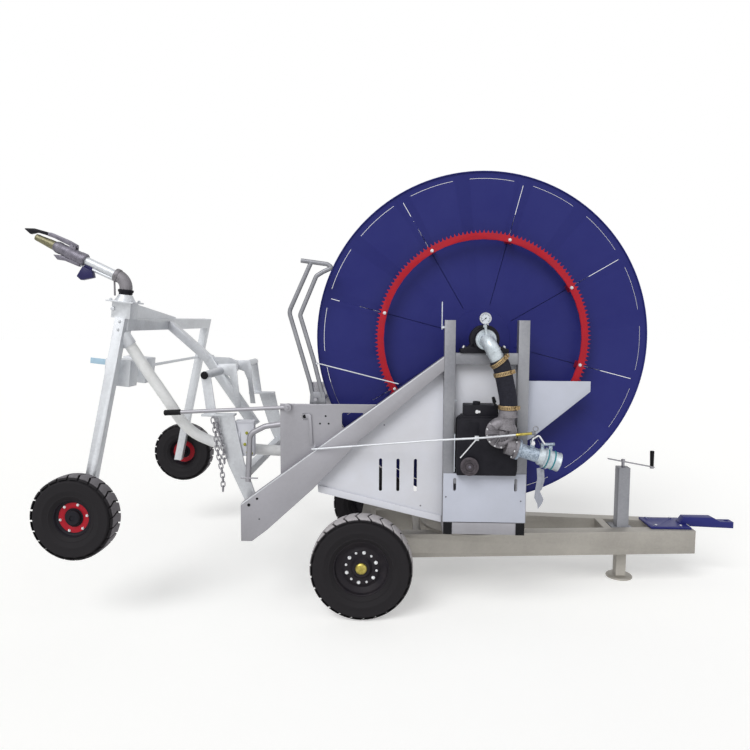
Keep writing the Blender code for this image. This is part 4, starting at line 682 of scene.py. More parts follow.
def placesRound(centre, radius, y, first, pitch, count):
    # first and pitch in degrees
    return [placeRound(centre, radians(first + pitch * step), radius, y) for step in range(count)]


def makeWinding():
    # flat turns side by side; each steps over to the next lane on the same short stretch of the rim
    first, share = reel["firstLane"], reel["stepSpan"] / 360.0
    pitch = 2 * first / (reel["lanes"] - 1)
    start = radians(reel["stepAt"] + reel["stepSpan"])
    points = []
    for step in range(round((reel["lanes"] - share) * reel["pointsPerTurn"]) + 1):
        turned = step / reel["pointsPerTurn"]
        lane = int(turned + 1e-6)
        over = max(0.0, (turned - lane - 1 + share) / share)
        lane = min(lane + over * over * (3 - 2 * over), reel["lanes"] - 1)
        points.append(placeRound(reel["centre"], start + tau * turned, reel["pipeTurnR"],
            first - pitch * lane))
    bm = bmesh.new()
    addTube(bm, points, pipe["radius"], 16)
    finishOn("pipe_outer_layer", "wound_pipe", bm, "polyethylene", True)


def addSlot(bm, start, end, radius, width, y, steps):
    # a curved slot's cutter, as a plate along an arc
    angles = [start + (end - start) * step / steps for step in range(steps + 1)]
    rims = ((radius + width / 2, angles), (radius - width / 2, angles[::-1]))
    line = [placeRound(reel["centre"], angle, rim) for rim, order in rims for angle in order]
    addPlateAt(bm, line, *y, 0.0)


def makeFlange(side, sign):
    inner, outer = reel["flangeInY"], reel["flangeInY"] + reel["sheet"]
    edge = reel["flangeR"]
    bm = bmesh.new()
    profile = [(reel["shaftR"] + 0.0004, inner - 0.050), (0.070, inner - 0.050), (0.070, inner),
        (edge - 0.001, inner), (edge, inner + 0.001), (edge, outer + reel["lip"] - 0.002),
        (edge - 0.001, outer + reel["lip"]), (edge - 0.005, outer + reel["lip"]),
        (edge - 0.006, outer + reel["lip"] - 0.002), (edge - 0.009, outer + 0.001), (edge - 0.012, outer),
        (reel["hubPlateR"], outer), (reel["hubPlateR"] - 0.001, outer + 0.003),
        (reel["shaftR"] + 0.0004, outer + 0.003)]
    addLathe(bm, profile, reel["centre"], (0, sign, 0), 144, ring=True)
    cutters = bmesh.new()
    y = sorted((sign * (inner - 0.01), sign * (outer + 0.02)))
    for sector in range(8):
        seam = radians(reel["firstSeam"] + 45 * sector)
        addPlateAt(cutters, spoke(reel["centre"], seam, reel["seamIn"], reel["seamOut"], reel["seamWidth"]),
            *y, 0.0)
        for start in reel["rimSlotStarts"]:
            first = seam + radians(start)
            addSlot(cutters, first, first + radians(reel["rimSlotSpan"]), reel["rimSlotR"],
                reel["rimSlotWidth"], y, 8)
    sheet = finishOn(f"flange_{side}", f"flange_sheet_{side}", bm, "blueEnamel", True)
    carve(sheet, cutters)


def makeRingBolts():
    bm = bmesh.new()
    for place in placesRound(reel["centre"], reel["boltR"], -reel["ringFace"], reel["firstSeam"], 45, 8):
        addBolt(bm, place, (0, -1, 0), 0.0085, 0.002)
    finishPiece("gear_ring_bolts", bm, "reel", "galvanisedPaintedLight")


makeWinding()
for side, sign in sides:
    makeFlange(side, sign)
makeRingBolts()
for node in ("drum_core", "pipe_inner_layers", "reel_shaft"):
    refineNode(node, 0.0)
refineNode("gear_ring", 0.0006)
print("reel made")


# Wheels

roadWheel = {"paleLugTop": "#BDB9BB", "tyreR": 0.297, "width": 0.165, "rimR": 0.160, "lugs": 26,
    "lugDepth": 0.008, "lugGap": 0.012, "sweep": 0.42, "boltR": 0.089, "disc": 0.020}
cartWheel = {"paleLugTop": "#757276", "tyreR": 0.234, "width": 0.130, "rimR": 0.105, "lugs": 24,
    "lugDepth": 0.012, "lugGap": 0.011, "sweep": 0.35, "boltR": 0.076, "disc": 0.016}


def addLugs(bm, centre, wheel):
    # one chevron lug from a bent and extruded grid, then turned copies round the carcass
    half, top = wheel["width"] / 2, wheel["tyreR"]
    base = top - wheel["lugDepth"] - 0.002
    pitch = tau / wheel["lugs"]
    span = pitch * 0.5 - wheel["lugGap"] / 2 / top
    part = bmesh.new()
    bmesh.ops.create_grid(part, x_segments=2, y_segments=8, size=1.0)
    for vert in part.verts:
        across = vert.co.y * half * 0.94
        angle = vert.co.x * span + abs(vert.co.y) * wheel["sweep"] * pitch
        crown = top - 0.004 * vert.co.y ** 2 - 0.010 * max(0.0, abs(vert.co.y) - 0.75) / 0.25
        vert.co = (crown * sin(angle), across, crown * cos(angle))
    grown = bmesh.ops.extrude_face_region(part, geom=list(part.faces), use_keep_orig=True)
    for item in grown["geom"]:
        if isinstance(item, bmesh.types.BMVert):
            flat = Vector((item.co.x, 0, item.co.z)).normalized() * base
            item.co = (flat.x, item.co.y * 0.985, flat.z)
    bmesh.ops.recalc_face_normals(part, faces=part.faces)
    softenEdges(part, 0.0015, 40.0)
    bmesh.ops.spin(part, geom=list(part.verts) + list(part.edges) + list(part.faces), cent=(0, 0, 0),
        axis=(0, 1, 0), angle=tau, steps=wheel["lugs"], use_duplicate=True)
    bmesh.ops.remove_doubles(part, verts=part.verts, dist=1e-6)
    bmesh.ops.translate(part, verts=part.verts, vec=centre)
    joinInto(bm, part)


def makeTyre(kind, side, sign, wheel):
    centre = pivot(f"{kind}_wheel_{side}_spin")
    r, w, rim = wheel["tyreR"], wheel["width"], wheel["rimR"]
    depth = wheel["lugDepth"]
    # half section from the bead to the crown, as shares of the sidewall's height and the half width
    wall = [(0.00, 0.66), (0.06, 0.74), (0.14, 0.83), (0.17, 0.87), (0.19, 0.87), (0.21, 0.86),
        (0.40, 0.955), (0.44, 0.985), (0.47, 0.985), (0.50, 0.97), (0.66, 1.0), (0.78, 0.985), (0.84, 0.99),
        (0.88, 0.95), (0.94, 0.80)]
    height = r - depth - rim
    outer = [(rim + height * a, w / 2 * b) for a, b in wall] + [(r - depth, w * 0.30),
        (r - depth + 0.001, 0.0)]
    profile = outer + [(radius, -across) for radius, across in outer[-2::-1]]
    bm = bmesh.new()
    addLathe(bm, profile, centre, (0, sign, 0), 96, ring=True)
    addLugs(bm, centre, wheel)
    look = f"{kind} tyre rubber {side}"
    looks[look] = makeTyreRubber(look, centre, r, wheel["paleLugTop"])
    finishOn(f"{kind}_tyre_{side}", f"{kind}_tyre_tread_{side}", bm, look, True, 28.0)


def makeRoadRim(side, sign):
    wheel = roadWheel
    centre = pivot(f"road_wheel_{side}_spin")
    edge, w, disc = wheel["rimR"] - 0.0005, wheel["width"], wheel["disc"]
    bm = bmesh.new()
    profile = [(0.0, -0.060), (0.052, -0.060), (0.052, -0.014), (edge * 0.84, -0.010),
        (edge * 0.86, -w * 0.20), (edge, -w * 0.32), (edge, w * 0.33), (edge - 0.004, w * 0.335),
        (edge - 0.007, w * 0.32), (edge - 0.012, w * 0.20), (edge - 0.022, w * 0.17),
        (edge - 0.030, disc + 0.004), (edge - 0.040, disc - 0.002), (0.108, disc), (0.100, disc + 0.006),
        (0.064, disc + 0.007), (0.058, disc + 0.016), (0.050, disc + 0.026), (0.0, disc + 0.026)]
    addLathe(bm, profile, centre, (0, sign, 0), 72)
    finishOn(f"road_rim_{side}", f"road_rim_disc_{side}", bm, "blackDisc", True)
    studs = bmesh.new()
    for step, place in enumerate(placesRound(centre, wheel["boltR"], sign * (disc + 0.0065), 10, 30, 12)):
        addBolt(studs, place, (0, sign, 0), 0.0065 if step % 2 else 0.0095, 0.003)
    finishPiece(f"road_wheel_nuts_{side}", studs, f"road_wheel_{side}", "brightZinc")
    cap = bmesh.new()
    addLathe(cap, [(0.0, 0.062), (0.012, 0.0615), (0.024, 0.059), (0.031, 0.054), (0.034, 0.046),
        (0.036, 0.044), (0.036, disc + 0.025), (0.0, disc + 0.025)], centre, (0, sign, 0), 40)
    finishPiece(f"road_hub_cap_{side}", cap, f"road_wheel_{side}", "yellowZinc")


def makeCartRim(side, sign):
    wheel = cartWheel
    centre = pivot(f"cart_wheel_{side}_spin")
    edge, w, disc = wheel["rimR"] - 0.0005, wheel["width"], wheel["disc"]
    bm = bmesh.new()
    red = edge * 0.83
    profile = [(0.052, -0.008), (red, -0.008), (red, disc + 0.004), (red - 0.002, disc + 0.006),
        (0.060, disc + 0.006), (0.052, disc + 0.002)]
    addLathe(bm, profile, centre, (0, sign, 0), 64, ring=True)
    finishOn(f"cart_rim_{side}", f"cart_rim_disc_{side}", bm, "redEnamel", True)
    hub = bmesh.new()
    addLathe(hub, [(0.0155, -0.047), (0.034, -0.047), (0.036, -0.010), (0.0515, -0.008),
        (0.0515, disc + 0.003), (0.044, disc + 0.004), (0.042, disc + 0.018), (0.036, disc + 0.024),
        (0.0155, disc + 0.024)], centre, (0, sign, 0), 48, ring=True)
    addLathe(hub, [(red - 0.004, -0.007), (edge * 0.86, -0.008), (edge, -w * 0.32), (edge, w * 0.33),
        (edge - 0.003, w * 0.335), (edge - 0.005, w * 0.32), (edge - 0.008, disc + 0.014),
        (edge - 0.012, disc + 0.011), (red, disc + 0.010), (red - 0.004, disc + 0.005)], centre,
        (0, sign, 0), 64, ring=True)
    addLathe(hub, [(0.0, disc + 0.020), (0.015, disc + 0.020), (0.015, disc + 0.014), (0.0, disc + 0.014)],
        centre, (0, sign, 0), 24)
    finishPiece(f"cart_hub_{side}", hub, f"cart_wheel_{side}", "blackCasting")
    nuts = bmesh.new()
    for place in placesRound(centre, wheel["boltR"], sign * (disc + 0.006), 20, 60, 6):
        addBolt(nuts, place, (0, sign, 0), 0.007, 0.003)
    finishPiece(f"cart_wheel_nuts_{side}", nuts, f"cart_wheel_{side}", "brightZinc")


for side, sign in sides:
    makeTyre("road", side, sign, roadWheel)
    makeTyre("cart", side, sign, cartWheel)
    makeRoadRim(side, sign)
    makeCartRim(side, sign)
print("wheels made")


# Feed: swivel elbow on the reel's shaft, gauge, supply hose with its clamps

feed = {"start": spot(0.674, -0.7653, 1.607), "lean": radians(28), "bendR": 0.060, "lead": 0.012,
    "tail": 0.056, "pipeR": 0.038, "collarR": 0.056, "collar": 0.022, "stemR": 0.007, "gap": 0.0003,
    "gauge": spot(0.662, -0.8057, 1.7218), "gaugeR": 0.0315, "gaugeDepth": 0.028, "marks": 19,
    "firstMark": -135, "markPitch": 15, "needleAt": -128, "hoseR": 0.047,
    "neck": spot(0.787, -0.8455, 1.2373), "bandR": 0.0515, "bands": (0.014, 0.083)}


def feedPath(steps):
    down = Vector((sin(feed["lean"]), 0, -cos(feed["lean"])))
    out = Vector((0, -1, 0))
    bend = feed["start"] + out * feed["lead"]
    path = [feed["start"]]
    for step in range(steps + 1):
        angle = pi / 2 * step / steps
        path.append(bend + down * feed["bendR"] * (1 - cos(angle)) + out * feed["bendR"] * sin(angle))
    return path + [path[-1] + down * feed["tail"]], down


def makeElbow():
    path, down = feedPath(14)
    bm = bmesh.new()
    addTube(bm, path, feed["pipeR"], 44)
    r, deep = feed["collarR"], feed["collar"]
    addLathe(bm, [(0.0, 0.0), (r - 0.002, 0.0), (r, 0.002), (r, deep - 0.004), (r - 0.003, deep),
        (0.044, deep), (0.042, deep + 0.008), (0.0, deep + 0.008)], feed["start"], (0, -1, 0), 48)
    for centre, axis in ((path[5], path[6] - path[4]), (path[-2] + down * 0.006, down)):
        addLathe(bm, [(0.036, -0.007), (0.0395, -0.006), (0.041, 0.0), (0.0395, 0.006), (0.036, 0.007)],
            centre, axis, 44, ring=True)
    foot = path[7] + Vector((-0.006, 0, 0.010))
    top = Vector((feed["gauge"].x, path[7].y, feed["gauge"].z - feed["gaugeR"] - feed["gap"]))
    addRod(bm, foot, top, feed["stemR"], sides=20)
    addRod(bm, top - Vector((0, 0, 0.016)), top - Vector((0, 0, 0.004)), 0.011, sides=6, edge=0.001)
    finishOn("swivel_elbow", "elbow_casting", bm, "washedZinc", True)


def onDial(degrees):
    # turned on the gauge's face, clockwise from straight up
    face = feed["gauge"] - Vector((0, feed["gaugeDepth"] - 0.003, 0))
    return Matrix.Translation(face) @ Matrix.Rotation(radians(degrees), 4, "Y")


def makeGauge():
    centre, r, deep = feed["gauge"], feed["gaugeR"], feed["gaugeDepth"]
    bm = bmesh.new()
    addLathe(bm, [(0.0, 0.0), (r - 0.002, 0.0), (r, 0.002), (r, deep - 0.002), (r - 0.001, deep),
        (r - 0.003, deep), (r - 0.004, deep - 0.003), (0.0, deep - 0.003)], centre, (0, -1, 0), 56)
    finishOn("pressure_gauge", "gauge_case", bm, "brightZinc", True)
    face = centre - Vector((0, deep - 0.003, 0))
    dial = bmesh.new()
    addRod(dial, face, face - Vector((0, 0.0008, 0)), r - 0.0045, sides=48)
    finishOn("pressure_gauge", "gauge_dial", dial, "dialEnamel")
    marks = bmesh.new()
    for step in range(feed["marks"]):
        part = bmesh.new()
        inner = 0.021 if step % 3 else 0.017
        addBox(part, (-0.0009, -0.0016, inner), (0.0009, -0.0008, 0.0255), 0.0)
        joinMoved(marks, part, onDial(feed["firstMark"] + feed["markPitch"] * step))
    needle = bmesh.new()
    addPlate(needle, [(-0.0014, -0.006), (0.0014, -0.006), (0.0004, 0.020), (-0.0004, 0.020)], -0.0026,
        -0.0016, 0.0)
    joinMoved(marks, needle, onDial(feed["needleAt"]))
    addRod(marks, face, face - Vector((0, 0.0034, 0)), 0.003, sides=20)
    finishOn("pressure_gauge", "gauge_marks", marks, "blackCap")


def makeSupplyHose():
    path, down = feedPath(6)
    top = path[-1] + down * feed["gap"]
    neck = feed["neck"]
    route = smoothPath((top, top + down * 0.050, neck + Vector((0, 0, 0.060)), neck), 0.006)
    bm = bmesh.new()
    addTube(bm, route, feed["hoseR"], 44)
    finishOn("supply_hose", "supply_hose_rubber", bm, "hoseRubber", True)
    bands, slots = bmesh.new(), bmesh.new()
    for reach in feed["bands"]:
        step = min(range(len(route)), key=lambda n: abs((route[n] - top).length - reach))
        joinInto(slots, addClamp(bands, route[step], route[step + 1] - route[step - 1], (1.0, -0.5, 0.0),
            feed["bandR"]))
    joinInto(slots, addClamp(bands, neck + Vector((0, 0, 0.014)), (0, 0, -1), (1.0, -0.6, 0.0),
        feed["bandR"]))
    finishOn("supply_hose", "hose_clamps", bands, "bandZinc")
    finishOn("supply_hose", "clamp_slots", slots, "blackCap")


makeElbow()
makeGauge()
makeSupplyHose()
print("feed made")


# Turbine, its inlet and the gearbox

turbine = {"centre": spot(0.754, -0.885, 1.115), "r": 0.084, "depth": 0.079, "backR": 0.052,
    "backEnd": -0.7753, "neck": spot(0.787, -0.8455, 1.237), "hoseSeatR": 0.050, "ribs": 10,
    "firstRib": 150, "ribPitch": 20, "ribWidth": 0.0044, "bolts": 9, "firstBolt": 128, "boltPitch": 26,
    "scrollR": 0.054, "scrollY": -0.016, "scrollFrom": 200, "scrollTurn": 250, "scrollSteps": 36,
    "scrollBore": 0.030, "scrollSize": (0.012, 0.020)}
inlet = {"start": spot(0.838, -0.846, 1.028), "along": Vector((0.955, 0.0, -0.296)).normalized(),
    "pipeR": 0.037, "length": 0.235, "socketR": 0.052, "ringR": 0.056, "boreR": 0.043,
    "pivot": spot(0.9192, -0.866, 1.0628)}


def makeTurbine():
    centre, r, deep = turbine["centre"], turbine["r"], turbine["depth"]
    bm = bmesh.new()
    addLathe(bm, [(0.0, 0.004), (0.016, 0.004), (0.018, 0.007), (0.018, 0.016), (0.050, 0.020),
        (0.062, 0.024), (r - 0.004, 0.028), (r, 0.030), (r, 0.040), (r - 0.003, 0.042), (r - 0.006, 0.050),
        (r - 0.006, deep - 0.012), (r - 0.012, deep), (0.0, deep)], centre, (0, 1, 0), 64)
    middle = centre + Vector((0, deep / 2, 0))
    addRod(bm, centre + Vector((0, deep - 0.005, 0)), Vector((centre.x, turbine["backEnd"], centre.z)),
        turbine["backR"], sides=40, edge=0.002)
    # the scroll swells round the wheel and runs up into the neck
    scroll, swell = [], []
    least, growth = turbine["scrollSize"]
    for step in range(turbine["scrollSteps"] + 1):
        share = step / turbine["scrollSteps"]
        angle = radians(turbine["scrollFrom"] - turbine["scrollTurn"] * share)
        scroll.append(placeRound(middle, angle, turbine["scrollR"], turbine["scrollY"]))
        swell.append((least + growth * share) / turbine["scrollBore"])
    addTube(bm, scroll, turbine["scrollBore"], 28, swell)
    neck = turbine["neck"]
    addRod(bm, middle + Vector((0.018, 0, 0.020)), neck + Vector((-0.006, 0, -0.022)), 0.050, 0.042, 48)
    seat = turbine["hoseSeatR"]
    addLathe(bm, [(0.0, -0.040), (seat - 0.002, -0.040), (seat, -0.038), (seat, -0.030),
        (seat - 0.004, -0.026), (seat - 0.004, 0.0), (0.0, 0.0)], neck, (0, 0, 1), 48)
    along = inlet["along"]
    addRod(bm, inlet["start"] - along * 0.060, inlet["start"], 0.044, sides=44)
    addLathe(bm, [(0.0, -0.016), (0.054, -0.016), (0.056, -0.014), (0.056, 0.0), (0.0, 0.0)],
        inlet["start"], along, 44)
    for step in range(turbine["ribs"]):
        rib = spoke(centre, radians(turbine["firstRib"] + turbine["ribPitch"] * step), 0.014, r - 0.010,
            turbine["ribWidth"])
        addPlateAt(bm, rib, centre.y + 0.010, centre.y + 0.030, 0.0006)
    rest = spot(0.718, -0.865, 1.102)
    addRod(bm, rest, Vector((rest.x, -0.8912, rest.z)), 0.008, sides=24, edge=0.001)
    finishOn("turbine", "turbine_casting", bm, "castAluminium", True)
    bolts = bmesh.new()
    for place in placesRound(centre, r - 0.007, 0.0285, turbine["firstBolt"], turbine["boltPitch"],
            turbine["bolts"]):
        addBolt(bolts, place, (0, -1, 0), 0.005)
    for step in range(6):
        angle = radians(60 * step + 20)
        across = along.cross(Vector((0, 1, 0)))
        place = inlet["start"] + (across * cos(angle)
            + Vector((0, 1, 0)) * sin(angle)) * 0.050 - along * 0.016
        addBolt(bolts, place, -along, 0.006)
    finishOn("turbine", "turbine_bolts", bolts, "brightZinc")


def makeInlet():
    start, along = inlet["start"] + inlet["along"] * 0.0003, inlet["along"]
    end, ring, socket = inlet["length"], inlet["ringR"], inlet["socketR"]
    bm = bmesh.new()
    addLathe(bm, [(0.0, 0.0), (0.054, 0.0), (0.056, 0.002), (0.056, 0.012), (0.054, 0.014), (0.041, 0.014),
        (inlet["pipeR"], 0.020), (inlet["pipeR"], 0.124), (0.0, 0.124)], start, along, 56)
    mouth = bmesh.new()
    addLathe(mouth, [(0.0, 0.116), (inlet["pipeR"] + 0.001, 0.116), (0.046, 0.125), (0.0468, 0.146),
        (0.0515, 0.148), (ring, 0.151), (ring, 0.156), (0.0515, 0.158), (0.0515, 0.166), (ring, 0.168),
        (ring, 0.174), (0.0485, 0.177), (socket - 0.002, end - 0.008), (socket, end - 0.004),
        (socket - 0.001, end), (inlet["boreR"], end), (inlet["boreR"], 0.176), (0.0, 0.176)], start, along,
        56)
    finishOn("inlet_coupling", "inlet_mouth", mouth, "washedZinc")
    pivotPoint = inlet["pivot"]
    addBox(bm, pivotPoint + Vector((-0.012, 0.0075, -0.045)), pivotPoint + Vector((0.012, 0.020, 0.012)),
        0.002)
    # cast clamp ears on top of the socket
    for low, high in ((0.132, 0.150), (0.176, 0.196)):
        a, b = start + along * low, start + along * high
        addBox(bm, (a.x, a.y - 0.012, a.z + 0.030), (b.x, a.y + 0.012, a.z + 0.072), 0.004)
    bar = start + along * 0.134 + Vector((0, 0, 0.064))
    addRod(bm, bar, bar + Vector((0.072, 0, 0.004)), 0.0085, sides=24, edge=0.002)
    # the casting in the blue-grey zinc, darkened as painted shade
    finishOn("inlet_coupling", "inlet_casting", bm, "blueZinc", True)
    seals = bmesh.new()
    for place in (0.162, 0.199):
        addLathe(seals, [(0.0500, -0.0035), (0.0528, -0.0025), (0.0535, 0.0), (0.0528, 0.0025),
            (0.0500, 0.0035)], start + along * place, along, 48, ring=True)
    finishOn("inlet_coupling", "inlet_seals", seals, "tealRubber")
    film = bmesh.new()
    leaves = (((0.946, 0.925), (0.966, 0.930), (0.974, 0.860), (0.966, 0.800), (0.986, 0.757),
        (0.979, 0.735), (0.957, 0.703), (0.954, 0.730), (0.936, 0.765), (0.942, 0.820), (0.950, 0.870)),
        ((0.962, 0.925), (0.986, 0.918), (0.990, 0.860), (0.978, 0.810), (0.966, 0.800), (0.968, 0.860)))
    for leaf, y in zip(leaves, (-0.852, -0.846)):
        addPlate(film, sideView(leaf), y, y + 0.0012, 0.0)
    finishOn("inlet_coupling", "inlet_film", film, "greyFilm")


def makeCouplingLever():
    place = inlet["pivot"]
    bm = bmesh.new()
    path = bendPath([place, place + Vector((-0.005, 0, 0.020)), place + Vector((0.030, 0, 0.044)),
        place + Vector((0.062, 0, -0.004))], 0.010, 10)
    addTube(bm, path, 0.005, 20)
    addRod(bm, place + Vector((0, 0.007, 0)), place - Vector((0, 0.007, 0)), 0.011, sides=32, edge=0.0015)
    finishOn("coupling_lever", "coupling_lever_rod", bm, "brightZinc", True)


gearbox = {"bottom": 0.8603, "front": -0.775, "back": -0.6576, "lid": (0.564, 0.750, 1.175, 1.251)}


def makeGearbox():
    bottom, front, back = gearbox["bottom"], gearbox["front"], gearbox["back"]
    body = sideView(((0.528, bottom), (0.852, bottom), (0.858, bottom + 0.030), (0.858, 1.120),
        (0.790, 1.183), (0.548, 1.183), (0.528, 1.165)))
    bm = bmesh.new()
    addPlate(bm, body, front + 0.006, back, 0.005)
    border = sideView(((0.536, bottom + 0.008), (0.848, bottom + 0.008), (0.850, 1.116), (0.787, 1.174),
        (0.552, 1.174), (0.536, 1.160)))
    addPlate(bm, border, front + 0.002, front + 0.008, 0.0015)
    raised = sideView(((0.546, 0.990), (0.646, 1.075), (0.646, 1.160), (0.556, 1.160), (0.546, 1.150)))
    addPlate(bm, raised, front, front + 0.006, 0.002)
    left, right, low, high = gearbox["lid"]
    addBox(bm, spot(left, front + 0.012, low), spot(right, back - 0.006, high), 0.006)
    addBox(bm, spot(left - 0.012, front + 0.006, low + 0.004),
        spot(right + 0.012, back - 0.003, low + 0.016), 0.003)
    addLathe(bm, [(0.0, 0.0), (0.026, 0.0), (0.026, 0.006), (0.021, 0.008), (0.021, 0.022), (0.018, 0.0250),
        (0.0, 0.0250)], spot(0.634, front + 0.045, high - 0.008), (0, 0, 1), 32)
    finishOn("gearbox", "gearbox_casting", bm, "blackCasting", True)
    fittings = bmesh.new()
    addBolt(fittings, spot(0.634, front + 0.012, 1.214), (0, -1, 0), 0.009, 0.002)
    for x, z in ((0.836, 1.100), (0.740, 1.160)):
        addBolt(fittings, spot(x, front + 0.002, z), (0, -1, 0), 0.005)
    addRod(fittings, spot(0.546, front - 0.001, 0.960), spot(0.630, front - 0.001, 1.062), 0.0042, sides=16)
    addBolt(fittings, spot(0.646, front + 0.012, 1.214), (0, -1, 0), 0.006, 0.001)
    finishOn("gearbox", "gearbox_fittings", fittings, "brightZinc")
    clevis = bmesh.new()
    addBox(clevis, spot(0.622, front - 0.006, 1.056), spot(0.646, front + 0.003, 1.084), 0.003)
    addPin(clevis, 0.640, 1.078, front + 0.003, front - 0.010, 0.006, sides=20, edge=0.001)
    finishOn("gearbox", "link_clevis", clevis, "galvanisedPaintedLight")
    knob = bmesh.new()
    addRod(knob, spot(0.745, -0.772, 1.205), spot(0.725, -0.776, 1.272), 0.0045, sides=16)
    addRod(knob, spot(0.727, -0.7755, 1.266), spot(0.717, -0.777, 1.298), 0.0105, 0.0085, 24, 0.003)
    finishOn("gearbox", "knob_lever", knob, "blackCap")


def makePulley():
    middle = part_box("input_pulley")
    centre = Vector(((middle[0][0] + middle[1][0]) / 2, -0.7753, (middle[0][2] + middle[1][2]) / 2))
    bm = bmesh.new()
    addLathe(bm, [(0.0, 0.0), (0.048, 0.0), (0.050, 0.002), (0.050, 0.004), (0.041, 0.010), (0.050, 0.016),
        (0.050, 0.019), (0.048, 0.020), (0.038, 0.020), (0.036, 0.016), (0.030, 0.014), (0.024, 0.015),
        (0.022, 0.020), (0.020, 0.0235), (0.0, 0.0235)], centre, (0, -1, 0), 56)
    finishOn("input_pulley", "pulley_wheel", bm, "sootCasting", True)
    nut = bmesh.new()
    addBolt(nut, centre - Vector((0, 0.0235, 0)), (0, -1, 0), 0.007, 0.002)
    finishOn("input_pulley", "pulley_nut", nut, "greyAlloy")


makeTurbine()
makeInlet()
makeCouplingLever()
makeGearbox()
makePulley()
print("turbine and gearbox made")


# Reel frame: bearings, sheets, side plates and the small parts on them

bearing = {"centre": spot(0.674, 0.0, 1.607), "inY": 0.645, "outY": 0.735, "seat": 1.5323, "dome": 0.081,
    "boreR": 0.0461}


def makeBearing(side, sign):
    y = sorted((sign * bearing["inY"], sign * bearing["outY"]))
    c, seat, dome = bearing["centre"], bearing["seat"], bearing["dome"]
    middle = (y[0] + y[1]) / 2
    arc = [(c.x + dome * cos(radians(a)), c.z + dome * sin(radians(a))) for a in range(-20, 201, 5)]
    outline = [(c.x - 0.132, seat), (c.x + 0.132, seat), (c.x + 0.132, seat + 0.022),
        (c.x + 0.092, seat + 0.034)]
    outline += arc + [(c.x - 0.092, seat + 0.034), (c.x - 0.132, seat + 0.022)]
    bm = bmesh.new()
    addPlate(bm, outline, y[0] + 0.008, y[1] - 0.008, 0.004)
    bore, end = bearing["boreR"], (y[1] - y[0]) / 2
    addLathe(bm, [(bore, -end), (0.062, -end), (0.066, -end + 0.004), (0.066, end - 0.004), (0.062, end),
        (bore, end)], Vector((c.x, middle, c.z)), (0, 1, 0), 56, ring=True)
    piece = finishOn(f"bearing_{side}", f"bearing_casting_{side}", bm, "blackCasting", True)
    cutters = bmesh.new()
    addRod(cutters, (c.x, y[0] - 0.02, c.z), (c.x, y[1] + 0.02, c.z), bore, sides=56)
    carve(piece, cutters)
    bolts = bmesh.new()
    for x in (-0.110, 0.110):
        addBolt(bolts, (c.x + x, middle, seat + 0.026), (0, 0, 1), 0.012, 0.004)
    nipple = Vector((c.x + 0.02, middle, c.z + dome))
    addRod(bolts, nipple - Vector((0, 0, 0.004)), nipple + Vector((0, 0, 0.010)), 0.004, sides=12)
    finishOn(f"bearing_{side}", f"bearing_bolts_{side}", bolts, "brightZinc")


sheets = {"y": (-0.6567, -0.6537), "slotX": (0.106, 0.205, 0.304), "slotZ": 0.831,
    "slotHalf": (0.009, 0.0945), "leftRivets": ((0.126, 1.118), (-0.195, 0.838), (0.335, 0.655)),
    "coverY": (-0.7203, -0.7173), "coverSlots": ((0.522, 0.798), (0.861, 0.798)),
    "coverRivets": ((0.474, 0.726), (0.8906, 0.7072))}


def makeSheets():
    y = sheets["y"]
    left = sideView(((-0.270, 0.771), (0.485, 0.592), (0.485, 1.468), (0.456, 1.468), (-0.100, 0.998),
        (-0.290, 0.815)))
    bm = bmesh.new()
    addPlate(bm, left, y[0], y[1], 0.0006)
    slots = bmesh.new()
    for x in sheets["slotX"]:
        addPlate(slots, roundedSlot(x + axleX, sheets["slotZ"], *sheets["slotHalf"],
            sheets["slotHalf"][0] * 0.98), y[0] - 0.05, y[1] + 0.05, 0.0)
    sheet = finishOn("panel_left", "left_sheet", bm, "whitePowder", True)
    carve(sheet, slots)
    lip = bmesh.new()
    addPlate(lip, sideView(((-0.254, 0.7670), (-0.250, 0.7260), (0.452, 0.5625), (0.452, 0.6000))),
        y[0] - 0.009, y[1], 0.002)
    finishOn("panel_left", "left_sheet_lip", lip, "whitePowder")
    rivets = bmesh.new()
    front = sheets["coverY"]
    cover = bmesh.new()
    addBox(cover, spot(0.459, front[0], 0.584), spot(0.917, front[1], 0.8597), 0.0008)
    cuts = bmesh.new()
    for x, z in sheets["coverSlots"]:
        addPlate(cuts, roundedSlot(x + axleX, z, 0.0085, 0.036, 0.0083), front[0] - 0.05, front[1] + 0.05,
            0.0)
    # the lower sheet in the darker white powder: painted shade
    lower = finishOn("panel_lower", "lower_sheet", cover, "whitePowderPaintedShade", True)
    carve(lower, cuts)
    for face, places in ((y[0], sheets["leftRivets"]), (front[0], sheets["coverRivets"])):
        for x, z in places:
            addPin(rivets, x, z, face, face - 0.0025, 0.0045, 0.003, 16)
    finishOn("panel_left", "sheet_rivets", rivets, "greyAlloy")


sidePlate = {"y": (-0.6627, -0.6567), "window": (-0.0525, 1.1435, 0.0625, 0.0435), "screw": (-0.328, 1.162),
    "holes": ((-0.2071, 1.166), (-0.2392, 1.123), (-0.1901, 1.123), (-0.4062, 1.205)), "handleR": 0.016,
    "pivots": ((-0.262, 1.262), (-0.420, 1.215))}


